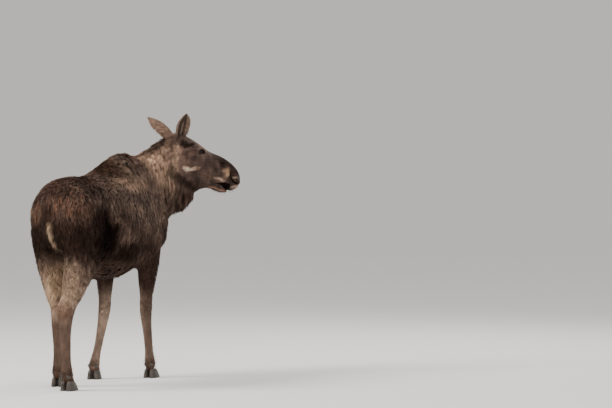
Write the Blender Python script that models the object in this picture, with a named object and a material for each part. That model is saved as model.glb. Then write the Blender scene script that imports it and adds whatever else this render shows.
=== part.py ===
"""A cow moose standing and looking to its right, life-size, as closed solids parted at the named body parts.

Metres, +X forward, +Y the animal's left, +Z up. The solids follow the outside of the winter coat. The flesh
is lofted from cross-sections, joined by a voxel remesh, smoothed, thinned and then parted with thin cuts.
"""
import math

import bmesh
import bpy
import numpy as np
from mathutils import Euler, Matrix, Vector

# Gaps and mesh fineness
CUT_GAP = 0.0004
SURFACE_GAP = 0.0006
VOXEL = 0.0105
FLESH_TRIANGLES = 4350
HEAD_KEEP = 0.5
HEAD_CARE = 0.0001
SEGMENTS = 28
SIDES = {"left": 1, "right": -1}

# The head: where its poll lies, which way it looks and its driving sizes
POLL = Vector((0.870, -0.211, 1.887))
HEAD_YAW = math.radians(-32)
HEAD_PITCH = math.radians(28)
EYE_PLACE = Vector((0.203, 0.0750, -0.045))
EYE_RADIUS = 0.0225
EAR_LENGTH = 0.252
EAR_HALF_WIDTH = 0.060
# Share of the ear's half width at shares of its length, from the root inside the head to the tip
EAR_WIDTHS = ((0.0, 0.50), (0.18, 0.66), (0.36, 0.92), (0.52, 1.0), (0.68, 0.93),
              (0.82, 0.70), (0.93, 0.38), (1.0, 0.08))
EAR_BASE = Vector((-0.014, 0.076, -0.038))
EAR_AIM = {"left": Vector((-0.796, 0.516, 0.318)), "right": Vector((-0.502, 0.671, 0.546))}
EAR_OPENS = {"left": Vector((0.710, 0.419, -0.566)), "right": Vector((0.035, 0.961, -0.274))}

# Trunk sections: x, top, bottom, half width, level of the widest line, powers of the upper and lower bend
TRUNK = (
    (-0.775, 1.390, 1.250, 0.040, 1.32, 2.0, 2.0),
    (-0.745, 1.455, 1.130, 0.105, 1.31, 2.0, 2.0),
    (-0.680, 1.508, 1.040, 0.170, 1.30, 1.9, 2.0),
    (-0.580, 1.540, 0.985, 0.215, 1.29, 1.8, 2.1),
    (-0.440, 1.556, 0.905, 0.242, 1.27, 1.8, 2.2),
    (-0.280, 1.558, 0.835, 0.262, 1.18, 1.9, 2.2),
    (-0.120, 1.583, 0.778, 0.300, 1.16, 1.8, 2.1),
    (0.050, 1.652, 0.770, 0.316, 1.16, 1.6, 2.1),
    (0.200, 1.720, 0.795, 0.308, 1.18, 1.5, 2.0),
    (0.330, 1.746, 0.835, 0.292, 1.20, 1.5, 2.0),
    (0.450, 1.730, 0.880, 0.275, 1.22, 1.6, 2.0),
    (0.550, 1.672, 0.940, 0.255, 1.24, 1.8, 2.0),
    (0.635, 1.570, 0.990, 0.242, 1.24, 2.0, 2.0),
    (0.700, 1.480, 1.045, 0.200, 1.24, 2.0, 2.0),
    (0.745, 1.390, 1.120, 0.110, 1.25, 2.0, 2.0),
)
# Neck sections: nape point, throat point, half width
NECK = (
    ((0.33, 0.000, 1.735), (0.62, 0.000, 0.980), 0.235),
    ((0.46, -0.030, 1.722), (0.75, -0.045, 1.100), 0.205),
    ((0.56, -0.070, 1.757), (0.825, -0.095, 1.200), 0.168),
    ((0.66, -0.115, 1.825), (0.880, -0.145, 1.285), 0.138),
    ((0.75, -0.155, 1.882), (0.915, -0.185, 1.350), 0.116),
    ((0.835, -0.195, 1.898), (0.935, -0.220, 1.440), 0.102),
)
# Skull sections in the head's own frame: along, top, bottom, half width, widest level, two powers
SKULL = (
    (-0.078, -0.050, -0.200, 0.055, -0.12, 2.0, 2.0),
    (-0.025, -0.002, -0.255, 0.092, -0.12, 2.1, 1.9),
    (0.040, 0.018, -0.290, 0.102, -0.12, 2.2, 1.8),
    (0.100, 0.022, -0.300, 0.102, -0.12, 2.3, 1.7),
    (0.160, 0.020, -0.290, 0.098, -0.11, 2.4, 1.7),
    (0.220, 0.016, -0.272, 0.088, -0.10, 2.4, 1.7),
    (0.280, 0.016, -0.252, 0.075, -0.10, 2.3, 1.8),
    (0.340, 0.024, -0.232, 0.065, -0.10, 2.2, 1.9),
    (0.400, 0.034, -0.208, 0.062, -0.10, 2.1, 2.0),
    (0.450, 0.037, -0.190, 0.065, -0.09, 2.1, 2.1),
    (0.510, 0.032, -0.182, 0.072, -0.09, 2.1, 2.3),
    (0.560, 0.020, -0.180, 0.076, -0.09, 2.2, 2.5),
    (0.605, 0.000, -0.174, 0.070, -0.09, 2.3, 2.5),
    (0.640, -0.030, -0.158, 0.055, -0.09, 2.3, 2.4),
    (0.664, -0.068, -0.128, 0.026, -0.10, 2.2, 2.2),
)
JAW = (
    (0.140, -0.200, -0.275, 0.052, -0.23, 2.0, 2.0),
    (0.260, -0.180, -0.300, 0.050, -0.22, 2.0, 2.0),
    (0.345, -0.175, -0.310, 0.045, -0.220, 2.0, 2.0),
    (0.405, -0.172, -0.268, 0.042, -0.212, 2.0, 2.1),
    (0.450, -0.172, -0.248, 0.042, -0.209, 2.0, 2.1),
    (0.500, -0.170, -0.240, 0.042, -0.205, 2.1, 2.2),
    (0.560, -0.172, -0.226, 0.041, -0.198, 2.1, 2.2),
    (0.600, -0.178, -0.208, 0.026, -0.192, 2.0, 2.0),
)
# Blobs of the head in its own frame: centre, radii, turn about the side axis; those off the middle are paired
HEAD_BLOBS = (
    ("brow", (0.190, 0.064, -0.018), (0.052, 0.034, 0.022), 4),
    ("orbit", (0.208, 0.066, -0.052), (0.048, 0.030, 0.038), 8),
    ("cheek", (0.135, 0.064, -0.175), (0.090, 0.044, 0.085), 18),
    ("nostril_wing", (0.590, 0.046, -0.078), (0.044, 0.028, 0.048), 20),
    ("lip", (0.545, 0.042, -0.148), (0.070, 0.032, 0.028), 6),
    ("poll_knob", (-0.005, 0.000, -0.010), (0.055, 0.060, 0.032), 0),
    ("throat", (0.308, 0.000, -0.334), (0.064, 0.034, 0.056), 30),
    ("ear_root", (-0.005, 0.068, -0.040), (0.045, 0.040, 0.050), 0),
)
# The bell hangs under the throat: centre, half length fore and aft, half width
BELL = (
    ((0.912, -0.233, 1.570), 0.120, 0.056),
    ((0.924, -0.238, 1.465), 0.130, 0.053),
    ((0.906, -0.226, 1.400), 0.106, 0.047),
    ((0.889, -0.215, 1.350), 0.090, 0.041),
    ((0.879, -0.209, 1.315), 0.068, 0.033),
    ((0.875, -0.206, 1.288), 0.030, 0.018),
)

# Leg sections about the leg's own line: level, reach forward, reach back, half width
FORELEG = (
    (1.330, 0.085, 0.120, 0.050),
    (1.200, 0.135, 0.150, 0.090),
    (1.080, 0.130, 0.150, 0.100),
    (0.980, 0.116, 0.140, 0.096),
    (0.900, 0.098, 0.112, 0.086),
    (0.810, 0.082, 0.084, 0.074),
    (0.720, 0.066, 0.066, 0.062),
    (0.640, 0.054, 0.054, 0.051),
    (0.585, 0.052, 0.050, 0.049),
    (0.535, 0.053, 0.050, 0.051),
    (0.485, 0.047, 0.047, 0.048),
    (0.420, 0.040, 0.043, 0.043),
    (0.320, 0.035, 0.040, 0.038),
    (0.215, 0.033, 0.040, 0.036),
    (0.160, 0.038, 0.047, 0.041),
    (0.128, 0.040, 0.047, 0.043),
    (0.098, 0.042, 0.040, 0.043),
    (0.076, 0.050, 0.040, 0.050),
    (0.050, 0.050, 0.038, 0.050),
)
HIND_LEG = (
    (1.460, 0.150, 0.130, 0.050),
    (1.360, 0.215, 0.185, 0.090),
    (1.240, 0.242, 0.205, 0.108),
    (1.120, 0.235, 0.200, 0.114),
    (1.010, 0.205, 0.175, 0.108),
    (0.920, 0.165, 0.152, 0.098),
    (0.830, 0.130, 0.125, 0.084),
    (0.740, 0.094, 0.100, 0.073),
    (0.670, 0.076, 0.090, 0.060),
    (0.610, 0.066, 0.096, 0.050),
    (0.565, 0.064, 0.086, 0.050),
    (0.515, 0.056, 0.064, 0.049),
    (0.440, 0.045, 0.050, 0.044),
    (0.330, 0.037, 0.042, 0.038),
    (0.215, 0.035, 0.042, 0.037),
    (0.160, 0.039, 0.048, 0.042),
    (0.128, 0.041, 0.048, 0.044),
    (0.098, 0.042, 0.041, 0.043),
    (0.076, 0.050, 0.040, 0.050),
    (0.050, 0.050, 0.038, 0.050),
)
# Where each leg's line passes: level, forward, outward; toes is the foot's own turn outward
LEG_LINES = {
    ("fore", "right"): ((1.33, 0.400, 0.190), (1.08, 0.385, 0.200), (0.86, 0.425, 0.174),
                        (0.54, 0.430, 0.153), (0.30, 0.462, 0.156), (0.12, 0.486, 0.161),
                        (0.05, 0.498, 0.162)),
    ("fore", "left"): ((1.33, 0.385, 0.190), (1.08, 0.360, 0.198), (0.86, 0.350, 0.166),
                       (0.54, 0.312, 0.146), (0.30, 0.256, 0.157), (0.12, 0.204, 0.172),
                       (0.05, 0.214, 0.176)),
    ("hind", "right"): ((1.46, -0.510, 0.125), (1.24, -0.525, 0.160), (1.00, -0.545, 0.170),
                        (0.83, -0.595, 0.164), (0.67, -0.652, 0.144), (0.58, -0.698, 0.126),
                        (0.46, -0.712, 0.122), (0.30, -0.704, 0.123), (0.12, -0.700, 0.130),
                        (0.05, -0.686, 0.132)),
    ("hind", "left"): ((1.46, -0.480, 0.125), (1.24, -0.468, 0.160), (1.00, -0.452, 0.168),
                       (0.83, -0.452, 0.156), (0.67, -0.462, 0.122), (0.58, -0.468, 0.092),
                       (0.46, -0.478, 0.090), (0.30, -0.462, 0.096), (0.12, -0.440, 0.106),
                       (0.05, -0.426, 0.108)),
}
# How far each leg's front is turned outward, at the top, at the knee or hock and at the foot
LEG_TURN = {"fore": (0, 4, 7), "hind": (4, 20, 10)}
# Blobs of the body: centre, radii, turns about X, Y and Z in degrees; each is paired left and right
BODY_BLOBS = (
    ("shoulder_blade", (0.335, 0.165, 1.340), (0.135, 0.085, 0.250), (10, -12, 0)),
    ("upper_arm", (0.530, 0.178, 1.130), (0.140, 0.090, 0.150), (0, 20, 0)),
    ("hip_bone", (-0.350, 0.150, 1.410), (0.130, 0.064, 0.080), (-25, 0, 0)),
    ("buttock", (-0.610, 0.124, 1.270), (0.125, 0.092, 0.180), (0, 10, 0)),
    ("belly_side", (-0.020, 0.120, 1.000), (0.290, 0.180, 0.190), (0, 0, 0)),
)

# Feet
SOLE_TO_CORONET = 0.072
CLAW_LENGTH = 0.145
CLAW_HALF_WIDTH = 0.027
CLAW_HEEL = 0.052
CLAW_CLEFT = 0.0035
DEWCLAW_LENGTH = 0.050
DEWCLAW_RADIUS = 0.017
KNEE_CUT = {"fore": 0.545, "hind": 0.560}

TAIL = ((-0.735, 1.425, 0.036, 0.040), (-0.768, 1.375, 0.026, 0.036), (-0.790, 1.315, 0.022, 0.031),
        (-0.796, 1.265, 0.017, 0.022), (-0.794, 1.235, 0.007, 0.009))

COLOURS = {
    "coat": (0.075, 0.052, 0.040, 1.0),
    "face": (0.120, 0.092, 0.078, 1.0),
    "leg_coat": (0.330, 0.265, 0.210, 1.0),
    "hoof": (0.030, 0.026, 0.023, 1.0),
    "eye": (0.012, 0.008, 0.006, 1.0),
}


def clear_scene():
    for obj in list(bpy.data.objects):
        bpy.data.objects.remove(obj, do_unlink=True)


def material(name):
    """A plain Principled finish of the named colour."""
    found = bpy.data.materials.get(name)
    if found:
        return found
    made = bpy.data.materials.new(name)
    made.use_nodes = True
    shader = made.node_tree.nodes["Principled BSDF"]
    shader.inputs["Base Color"].default_value = COLOURS[name]
    shader.inputs["Roughness"].default_value = 0.08 if name == "eye" else 0.45 if name == "hoof" else 0.9
    shader.inputs["Metallic"].default_value = 0.0
    return made


def link(mesh, name, finish=None):
    obj = bpy.data.objects.new(name, mesh)
    bpy.context.collection.objects.link(obj)
    if finish:
        mesh.materials.clear()
        mesh.materials.append(material(finish))
    return obj


def curve_through(rows, steps):
    """Rows of numbers on a Catmull-Rom curve through the given rows, with steps rows to each stretch."""
    known = np.array(rows, float)
    padded = np.vstack([2 * known[0] - known[1], known, 2 * known[-1] - known[-2]])
    made = []
    for a, b, c, d in zip(padded, padded[1:], padded[2:], padded[3:]):
        for t in np.arange(steps) / steps:
            made.append(0.5 * (2 * b + (c - a) * t + (2 * a - 5 * b + 4 * c - d) * t ** 2
                               + (3 * b - a - 3 * c + d) * t ** 3))
    made.append(known[-1])
    return made


def powered(value, power):
    return math.copysign(abs(value) ** (2.0 / power), value)


def section(top, bottom, half_width, widest, top_power, bottom_power):
    """(side, up) points of a rounded cross-section whose upper and lower halves bend by their own powers."""
    points = []
    for turn in np.arange(SEGMENTS) * 2 * math.pi / SEGMENTS:
        power = top_power if math.sin(turn) >= 0 else bottom_power
        reach = top - widest if math.sin(turn) >= 0 else widest - bottom
        side = half_width * powered(math.cos(turn), power)
        points.append((side, widest + reach * powered(math.sin(turn), power)))
    return points


def add_loft(flesh, rings):
    """A closed tube through rings of points, added to the bmesh."""
    loops = [[flesh.verts.new(point) for point in ring] for ring in rings]
    count = len(loops[0])
    for near, far in zip(loops, loops[1:]):
        for i in range(count):
            flesh.faces.new((near[i], near[(i + 1) % count], far[(i + 1) % count], far[i]))
    flesh.faces.new(loops[0][::-1])
    flesh.faces.new(loops[-1])


def add_blob(flesh, centre, radii, turns=(0, 0, 0), frame=Matrix.Identity(4)):
    place = (frame @ Matrix.Translation(centre) @ Euler([math.radians(t) for t in turns]).to_matrix().to_4x4()
             @ Matrix.Diagonal((*radii, 1)))
    bmesh.ops.create_icosphere(flesh, subdivisions=3, radius=1.0, matrix=place)


def mirrored(vector, side):
    return Vector((vector[0], vector[1] * SIDES[side], vector[2]))


def head_frame():
    """The head's own frame: X from poll to nose, Y its left, Z up off the forehead."""
    return (Matrix.Translation(POLL) @ Matrix.Rotation(HEAD_YAW, 4, "Z")
            @ Matrix.Rotation(HEAD_PITCH, 4, "Y"))


def sections_along_x(rows, steps, frame=Matrix.Identity(4)):
    rings = []
    for along, *shape in curve_through(rows, steps):
        rings.append([frame @ Vector((along, side, up)) for side, up in section(*shape)])
    return rings


def neck_rings():
    rows = [(*nape, *throat, half) for nape, throat, half in NECK]
    made = curve_through(rows, 5)
    rings = []
    for i, row in enumerate(made):
        nape, throat, half = Vector(row[0:3]), Vector(row[3:6]), row[6]
        before, after = made[max(i - 1, 0)], made[min(i + 1, len(made) - 1)]
        onward = Vector((after[0:3] + after[3:6]) - (before[0:3] + before[3:6]))
        upward = nape - throat
        outward = upward.cross(onward).normalized()
        middle = throat + upward * 0.52
        height = upward.length
        outline = section(height * 0.48, -height * 0.52, half, 0, 1.7, 1.8)
        rings.append([middle + outward * side + upward.normalized() * up for side, up in outline])
    return rings


def upright_rings(rows):
    """Level rings about a line: each row is x, y, level, reach forward, reach back, half width, turn."""
    rings = []
    for x, y, level, forward, back, half, yaw in rows:
        ring = []
        for turn in np.arange(SEGMENTS) * 2 * math.pi / SEGMENTS:
            reach = (forward if math.cos(turn) >= 0 else back) * math.cos(turn)
            aside = half * math.sin(turn)
            ring.append(Vector((x + reach * math.cos(yaw) - aside * math.sin(yaw),
                                y + reach * math.sin(yaw) + aside * math.cos(yaw), level)))
        rings.append(ring)
    return rings


def leg_line(leg, side, level):
    """Where the middle of a leg lies at a level: forward and sideways."""
    levels, forward, outward = zip(*sorted(curve_through(LEG_LINES[leg, side], 6), key=lambda row: row[0]))
    return np.interp(level, levels, forward), SIDES[side] * np.interp(level, levels, outward)


def leg_turn(leg, side, level):
    """How far the leg's front is turned about the upright at a level, in radians."""
    top, joint, foot = LEG_TURN[leg]
    return SIDES[side] * math.radians(np.interp(level, (0.1, 0.5, 0.75, 1.1), (foot, joint, joint, top)))


def leg_rings(leg, side):
    rows = []
    for level, forward, back, half in curve_through(FORELEG if leg == "fore" else HIND_LEG, 4):
        x, y = leg_line(leg, side, level)
        rows.append((x, y, level, forward, back, half, leg_turn(leg, side, level)))
    return upright_rings(rows)


def bell_rings():
    rows = [(*centre, reach, half) for centre, reach, half in BELL]
    aim = Vector((math.cos(HEAD_YAW), math.sin(HEAD_YAW), 0))
    across = Vector((-aim.y, aim.x, 0))
    rings = []
    for *centre, reach, half in curve_through(rows, 3):
        rings.append([Vector(centre) + aim * reach * math.cos(turn) + across * half * math.sin(turn)
                      for turn in np.arange(SEGMENTS) * 2 * math.pi / SEGMENTS])
    return rings


def raw_flesh():
    """Every fleshy volume of the body in one mesh, still overlapping."""
    flesh = bmesh.new()
    frame = head_frame()
    add_loft(flesh, sections_along_x(TRUNK, 5))
    add_loft(flesh, neck_rings())
    add_loft(flesh, sections_along_x(SKULL, 5, frame))
    add_loft(flesh, sections_along_x(JAW, 5, frame))
    add_loft(flesh, bell_rings())
    for side in SIDES:
        for leg in ("fore", "hind"):
            add_loft(flesh, leg_rings(leg, side))
        for _, centre, radii, turns in BODY_BLOBS:
            signed = (turns[0] * SIDES[side], turns[1], turns[2] * SIDES[side])
            add_blob(flesh, mirrored(centre, side), radii, signed)
        for _, centre, radii, pitch in HEAD_BLOBS:
            add_blob(flesh, mirrored(centre, side), radii, (0, pitch, 0), frame)
    tail = [(x, 0.0, level, reach, reach, half, 0.0) for x, level, reach, half in TAIL]
    add_loft(flesh, upright_rings(curve_through(tail, 4)))
    bmesh.ops.recalc_face_normals(flesh, faces=flesh.faces)
    mesh = bpy.data.meshes.new("flesh")
    flesh.to_mesh(mesh)
    flesh.free()
    return mesh


def evaluated_copy(obj, name):
    """A new mesh of the object with its modifiers applied, and the object removed."""
    graph = bpy.context.evaluated_depsgraph_get()
    made = bpy.data.meshes.new_from_object(obj.evaluated_get(graph))
    made.name = name
    bpy.data.objects.remove(obj, do_unlink=True)
    return made


def voxel_union(mesh):
    obj = link(mesh, "flesh")
    remesh = obj.modifiers.new("union", "REMESH")
    remesh.mode = "VOXEL"
    remesh.voxel_size = VOXEL
    remesh.adaptivity = 0.0
    return evaluated_copy(obj, "flesh")


def points_of(mesh):
    points = np.empty(len(mesh.vertices) * 3, np.float32)
    mesh.vertices.foreach_get("co", points)
    return points.reshape(-1, 3).astype(float)


def in_head_frame(points):
    inverse = np.array(head_frame().inverted())
    return points @ inverse[:3, :3].T + inverse[:3, 3]


def head_share(points):
    """1 on the head, falling to 0 along the neck."""
    local = in_head_frame(points)
    return np.clip((local[:, 0] + 0.10) / 0.06, 0, 1) * np.clip((local[:, 2] + 0.36) / 0.05, 0, 1)


def relax(mesh, passes, strength):
    """Moves each vertex towards its neighbours' middle, by its own strength, to blend the volumes."""
    points = points_of(mesh)
    edges = np.empty(len(mesh.edges) * 2, np.int32)
    mesh.edges.foreach_get("vertices", edges)
    a, b = edges.reshape(-1, 2).T
    valence = np.bincount(np.concatenate([a, b]), minlength=len(points))[:, None]
    for _ in range(passes):
        total = np.empty_like(points)
        for axis in range(3):
            total[:, axis] = (np.bincount(a, points[b, axis], len(points))
                              + np.bincount(b, points[a, axis], len(points)))
        points += strength[:, None] * (total / valence - points)
    mesh.vertices.foreach_set("co", points.astype(np.float32).ravel())
    mesh.update()


def blend_flesh(mesh):
    """Broad blending on the trunk, little on the slender legs and the head."""
    points = points_of(mesh)
    body = np.clip((points[:, 2] - 0.72) / 0.22, 0, 1) * (1 - head_share(points))
    muzzle = np.clip((in_head_frame(points)[:, 0] - 0.30) / 0.10, 0, 1)
    relax(mesh, 26, 0.07 + 0.52 * body + 0.30 * head_share(points) * (1 - muzzle))
    relax(mesh, 3, 0.4 * np.ones(len(points)))


def thin_out(mesh, triangles):
    """Fewer triangles, kept finer on the head."""
    obj = link(mesh, "flesh")
    group = obj.vertex_groups.new(name="coarse")
    coarse = 1 - HEAD_KEEP * head_share(points_of(mesh))
    for index, weight in enumerate(coarse):
        group.add([index], float(weight), "REPLACE")
    thin = obj.modifiers.new("thin", "DECIMATE")
    thin.vertex_group = "coarse"
    thin.vertex_group_factor = HEAD_CARE
    thin.ratio = triangles / sum(len(face.vertices) - 2 for face in mesh.polygons)
    return evaluated_copy(obj, "flesh")


def wedge(name, low, high):
    """A six-sided cutter between a lower and an upper four-cornered face, both listed the same way round."""
    cutter = bmesh.new()
    corners = [cutter.verts.new(point) for point in (*low, *high)]
    cutter.faces.new(corners[0:4][::-1])
    cutter.faces.new(corners[4:8])
    for i in range(4):
        cutter.faces.new((corners[i], corners[(i + 1) % 4], corners[4 + (i + 1) % 4], corners[4 + i]))
    bmesh.ops.recalc_face_normals(cutter, faces=cutter.faces)
    mesh = bpy.data.meshes.new(name)
    cutter.to_mesh(mesh)
    cutter.free()
    return mesh


def grown(mesh, distance):
    """A copy of a mesh whose vertices are moved outward."""
    bm = bmesh.new()
    bm.from_mesh(mesh)
    bm.normal_update()
    moves = [vertex.normal * distance * vertex.calc_shell_factor() for vertex in bm.verts]
    for vertex, move in zip(bm.verts, moves):
        vertex.co += move
    made = bpy.data.meshes.new(mesh.name + "_grown")
    bm.to_mesh(made)
    bm.free()
    return made


def boolean(mesh, cutter, operation):
    obj, other = link(mesh.copy(), "cut"), link(cutter, "cutter")
    cut = obj.modifiers.new("cut", "BOOLEAN")
    cut.operation = operation
    cut.object = other
    made = evaluated_copy(obj, mesh.name)
    bpy.data.objects.remove(other, do_unlink=True)
    return tidy(made)


def tidy(mesh):
    """Merges the near-doubles that a cut leaves, and makes triangles."""
    bm = bmesh.new()
    bm.from_mesh(mesh)
    bmesh.ops.remove_doubles(bm, verts=bm.verts, dist=0.00005)
    bmesh.ops.dissolve_degenerate(bm, edges=bm.edges, dist=0.00004)
    bmesh.ops.triangulate(bm, faces=bm.faces)
    bm.to_mesh(mesh)
    bm.free()
    return mesh


def part_off(mesh, cutter):
    """(inside, outside) of a cutter, with a thin gap left between them."""
    return boolean(mesh, cutter, "INTERSECT"), boolean(mesh, grown(cutter, CUT_GAP), "DIFFERENCE")


def block(name, centre, onward, size, up=Vector((0, 0, 1))):
    """A box that starts at a plane through centre and runs onward by size[0], with its width and height."""
    onward = onward.normalized()
    across = up.cross(onward).normalized()
    upward = onward.cross(across)
    near = [centre + across * a * size[1] / 2 + upward * b * size[2] / 2
            for a, b in ((-1, -1), (1, -1), (1, 1), (-1, 1))]
    return wedge(name, near, [point + onward * size[0] for point in near])


def leg_cutter(leg, side):
    """The block that holds one leg: its roof rises outward from the armpit or groin."""
    s = SIDES[side]
    if leg == "fore":
        inner, outer, roof_in, roof_out, back, front = 0.062, 0.50, 0.935, 1.10, 0.17, 0.80
    else:
        inner, outer, roof_in, roof_out, back, front = 0.006, 0.50, 0.985, 1.42, -1.10, -0.235
    corners = ((back, inner, roof_in), (front, inner, roof_in), (front, outer, roof_out),
               (back, outer, roof_out))
    floor = [Vector((x, s * y, -0.1)) for x, y, _ in corners]
    roof = [Vector((x, s * y, level)) for x, y, level in corners]
    return wedge("leg_cutter", floor, roof)


def claw_outline(level, outer):
    """Points round one claw at a level: pointed in front, round at the heel, flat towards the cleft."""
    rise = level / SOLE_TO_CORONET
    toe = CLAW_LENGTH - CLAW_HEEL - 0.044 * rise
    heel = CLAW_HEEL - 0.012 * rise
    half = CLAW_HALF_WIDTH * (1 - 0.16 * rise)
    points = []
    for turn in np.arange(12) * 2 * math.pi / 12:
        c, s = math.cos(turn), math.sin(turn)
        reach = toe if c >= 0 else heel
        taper = 1 - 0.45 * max(c, 0) ** 2
        bulge = 1.0 if s >= 0 else 0.72
        middle = half * 0.86 - 0.006 * max(c, 0)
        points.append(Vector((reach * c, outer * (CLAW_CLEFT + middle + half * s * taper * bulge), level)))
    return points


def foot_frame(leg, side):
    x, y = leg_line(leg, side, SOLE_TO_CORONET)
    return Matrix.Translation((x, y, 0)) @ Matrix.Rotation(leg_turn(leg, side, 0), 4, "Z")


def claw(leg, side, outer):
    bm = bmesh.new()
    frame = foot_frame(leg, side)
    levels = (0.0, 0.006, 0.035, SOLE_TO_CORONET - CUT_GAP)
    rings = [[frame @ point for point in claw_outline(level, outer)] for level in levels]
    inset = [frame @ Vector((p.x * 0.94, p.y, 0)) for p in claw_outline(0.0, outer)]
    add_loft(bm, [inset] + [[Vector(p) for p in ring] for ring in rings[1:]])
    bmesh.ops.recalc_face_normals(bm, faces=bm.faces)
    bmesh.ops.triangulate(bm, faces=bm.faces)
    mesh = bpy.data.meshes.new("claw")
    bm.to_mesh(mesh)
    bm.free()
    return mesh


def dewclaw(leg, side, outer, leg_mesh):
    """A small blunt claw behind the pastern, cut clear of the leg."""
    bm = bmesh.new()
    frame = foot_frame(leg, side) @ Matrix.Translation((-0.036, outer * 0.026, 0.122)) @ Euler(
        (0, math.radians(-28), 0)).to_matrix().to_4x4()
    rings = []
    for fall in (0.0, 0.25, 0.55, 0.82, 1.0):
        radius = DEWCLAW_RADIUS * math.sqrt(max(1 - fall ** 2.2, 0.02))
        low = -fall * DEWCLAW_LENGTH
        rings.append([frame @ Vector((radius * math.cos(turn) * 1.1, radius * math.sin(turn), low))
                      for turn in np.arange(8) * 2 * math.pi / 8])
    add_loft(bm, rings)
    bmesh.ops.recalc_face_normals(bm, faces=bm.faces)
    mesh = bpy.data.meshes.new("dewclaw")
    bm.to_mesh(mesh)
    bm.free()
    return boolean(mesh, grown(leg_mesh, SURFACE_GAP), "DIFFERENCE")


def ear(side, *around):
    """A cupped leaf with a thick rim, cut clear of the head and the neck at its root."""
    aim = mirrored(EAR_AIM[side], side).normalized()
    opens = mirrored(EAR_OPENS[side], side)
    opens = (opens - aim * opens.dot(aim)).normalized()
    across = aim.cross(opens)
    base = mirrored(EAR_BASE, side)
    bm = bmesh.new()
    rings = []
    for share in np.linspace(0, 1, 10):
        half = EAR_HALF_WIDTH * np.interp(share, *zip(*EAR_WIDTHS))
        cup = 0.004 + 0.046 * (1 - share) ** 0.7
        thick = 0.0075 + 0.012 * (1 - share) ** 3
        centre = base + aim * ((EAR_LENGTH + 0.05) * share - 0.05) - opens * 0.018 * math.sin(math.pi * share)
        back, front = [], []
        for q in np.linspace(-1, 1, 7):
            depth = cup * (q * q - 0.4)
            wall = thick * (1 - 0.55 * q * q)
            spot = centre + across * half * math.sin(q * 1.35) / math.sin(1.35)
            back.append(spot + opens * (depth - wall / 2))
            front.append(spot + opens * (depth + wall / 2))
        rings.append(back + front[::-1])
    add_loft(bm, [[head_frame() @ point for point in ring] for ring in rings])
    bmesh.ops.recalc_face_normals(bm, faces=bm.faces)
    mesh = bpy.data.meshes.new("ear")
    bm.to_mesh(mesh)
    bm.free()
    for other in around:
        mesh = boolean(mesh, grown(other, SURFACE_GAP), "DIFFERENCE")
    return largest_piece(mesh)


def largest_piece(mesh):
    """Drops the small scraps that a cut leaves loose."""
    bm = bmesh.new()
    bm.from_mesh(mesh)
    groups, seen = [], set()
    for start in bm.verts:
        if start in seen:
            continue
        group, queue = [], [start]
        seen.add(start)
        while queue:
            vertex = queue.pop()
            group.append(vertex)
            for edge in vertex.link_edges:
                other = edge.other_vert(vertex)
                if other not in seen:
                    seen.add(other)
                    queue.append(other)
        groups.append(group)
    groups.sort(key=len)
    for group in groups[:-1]:
        bmesh.ops.delete(bm, geom=group, context="VERTS")
    bm.to_mesh(mesh)
    bm.free()
    return mesh


def ball(centre, radius, segments, rings):
    bm = bmesh.new()
    bmesh.ops.create_uvsphere(bm, u_segments=segments, v_segments=rings, radius=radius,
                              matrix=Matrix.Translation(centre))
    bmesh.ops.triangulate(bm, faces=bm.faces)
    mesh = bpy.data.meshes.new("ball")
    bm.to_mesh(mesh)
    bm.free()
    return mesh


def mouth_cutter(frame):
    """A thin wedge-shaped block under the mouth line that holds the lower jaw."""
    corner, front = Vector((0.440, 0, -0.181)), Vector((0.700, 0, -0.181))
    corners = ((corner, -0.1), (front, -0.1), (front, 0.1), (corner, 0.1))
    low = [Vector((end.x, side, -0.30)) for end, side in corners]
    high = [Vector((end.x, side, end.z)) for end, side in corners]
    return wedge("mouth", [frame @ p for p in low], [frame @ p for p in high])


def stand_on_origin():
    """Moves every solid so that the middle of the whole lies over the origin."""
    meshes = [obj.data for obj in bpy.data.objects]
    points = np.vstack([points_of(mesh) for mesh in meshes])
    middle = (points.min(axis=0) + points.max(axis=0)) / 2
    for mesh in meshes:
        mesh.transform(Matrix.Translation((-middle[0], -middle[1], 0)))


def build_flesh():
    mesh = voxel_union(raw_flesh())
    blend_flesh(mesh)
    return tidy(thin_out(mesh, FLESH_TRIANGLES))


def main():
    clear_scene()
    frame = head_frame()
    nodes = {}
    rest = build_flesh()
    for leg in ("fore", "hind"):
        for side in SIDES:
            limb, rest = part_off(rest, leg_cutter(leg, side))
            nodes[leg, side] = limb
    neck_block = block("neck", Vector((0.545, -0.04, 1.45)), Vector((0.80, -0.16, 0.26)), (1.4, 1.6, 1.1))
    neck_and_head, rest = part_off(rest, neck_block)
    head_axis = frame.to_3x3() @ Vector((1, 0, 0))
    head_block = block("head", frame @ Vector((-0.030, 0, -0.10)), head_axis, (1.2, 0.8, 0.44))
    head, neck = part_off(neck_and_head, head_block)
    jaw, head = part_off(head, mouth_cutter(frame))
    tail_block = block("tail", Vector((-0.762, 0, 1.33)), Vector((-1, 0, 0)), (0.2, 0.076, 0.25))
    tail, trunk = part_off(rest, tail_block)
    head_whole = head
    for side in SIDES:
        centre = frame @ mirrored(EYE_PLACE, side)
        head = boolean(head, ball(centre, EYE_RADIUS + SURFACE_GAP, 12, 8), "DIFFERENCE")
        nodes["eye", side] = ball(centre, EYE_RADIUS, 12, 8)
        nodes["ear", side] = ear(side, head_whole, neck)
    for name, mesh, finish in (("trunk", trunk, "coat"), ("neck", neck, "coat"), ("head", head, "face"),
                               ("lower_jaw", jaw, "face"), ("tail", tail, "coat")):
        link(largest_piece(mesh), name, finish)
    for side in SIDES:
        link(nodes["ear", side], f"ear_{side}", "face")
        link(nodes["eye", side], f"eye_{side}", "eye")
        for leg in ("fore", "hind"):
            build_leg(leg, side, nodes[leg, side])
    stand_on_origin()


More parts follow.
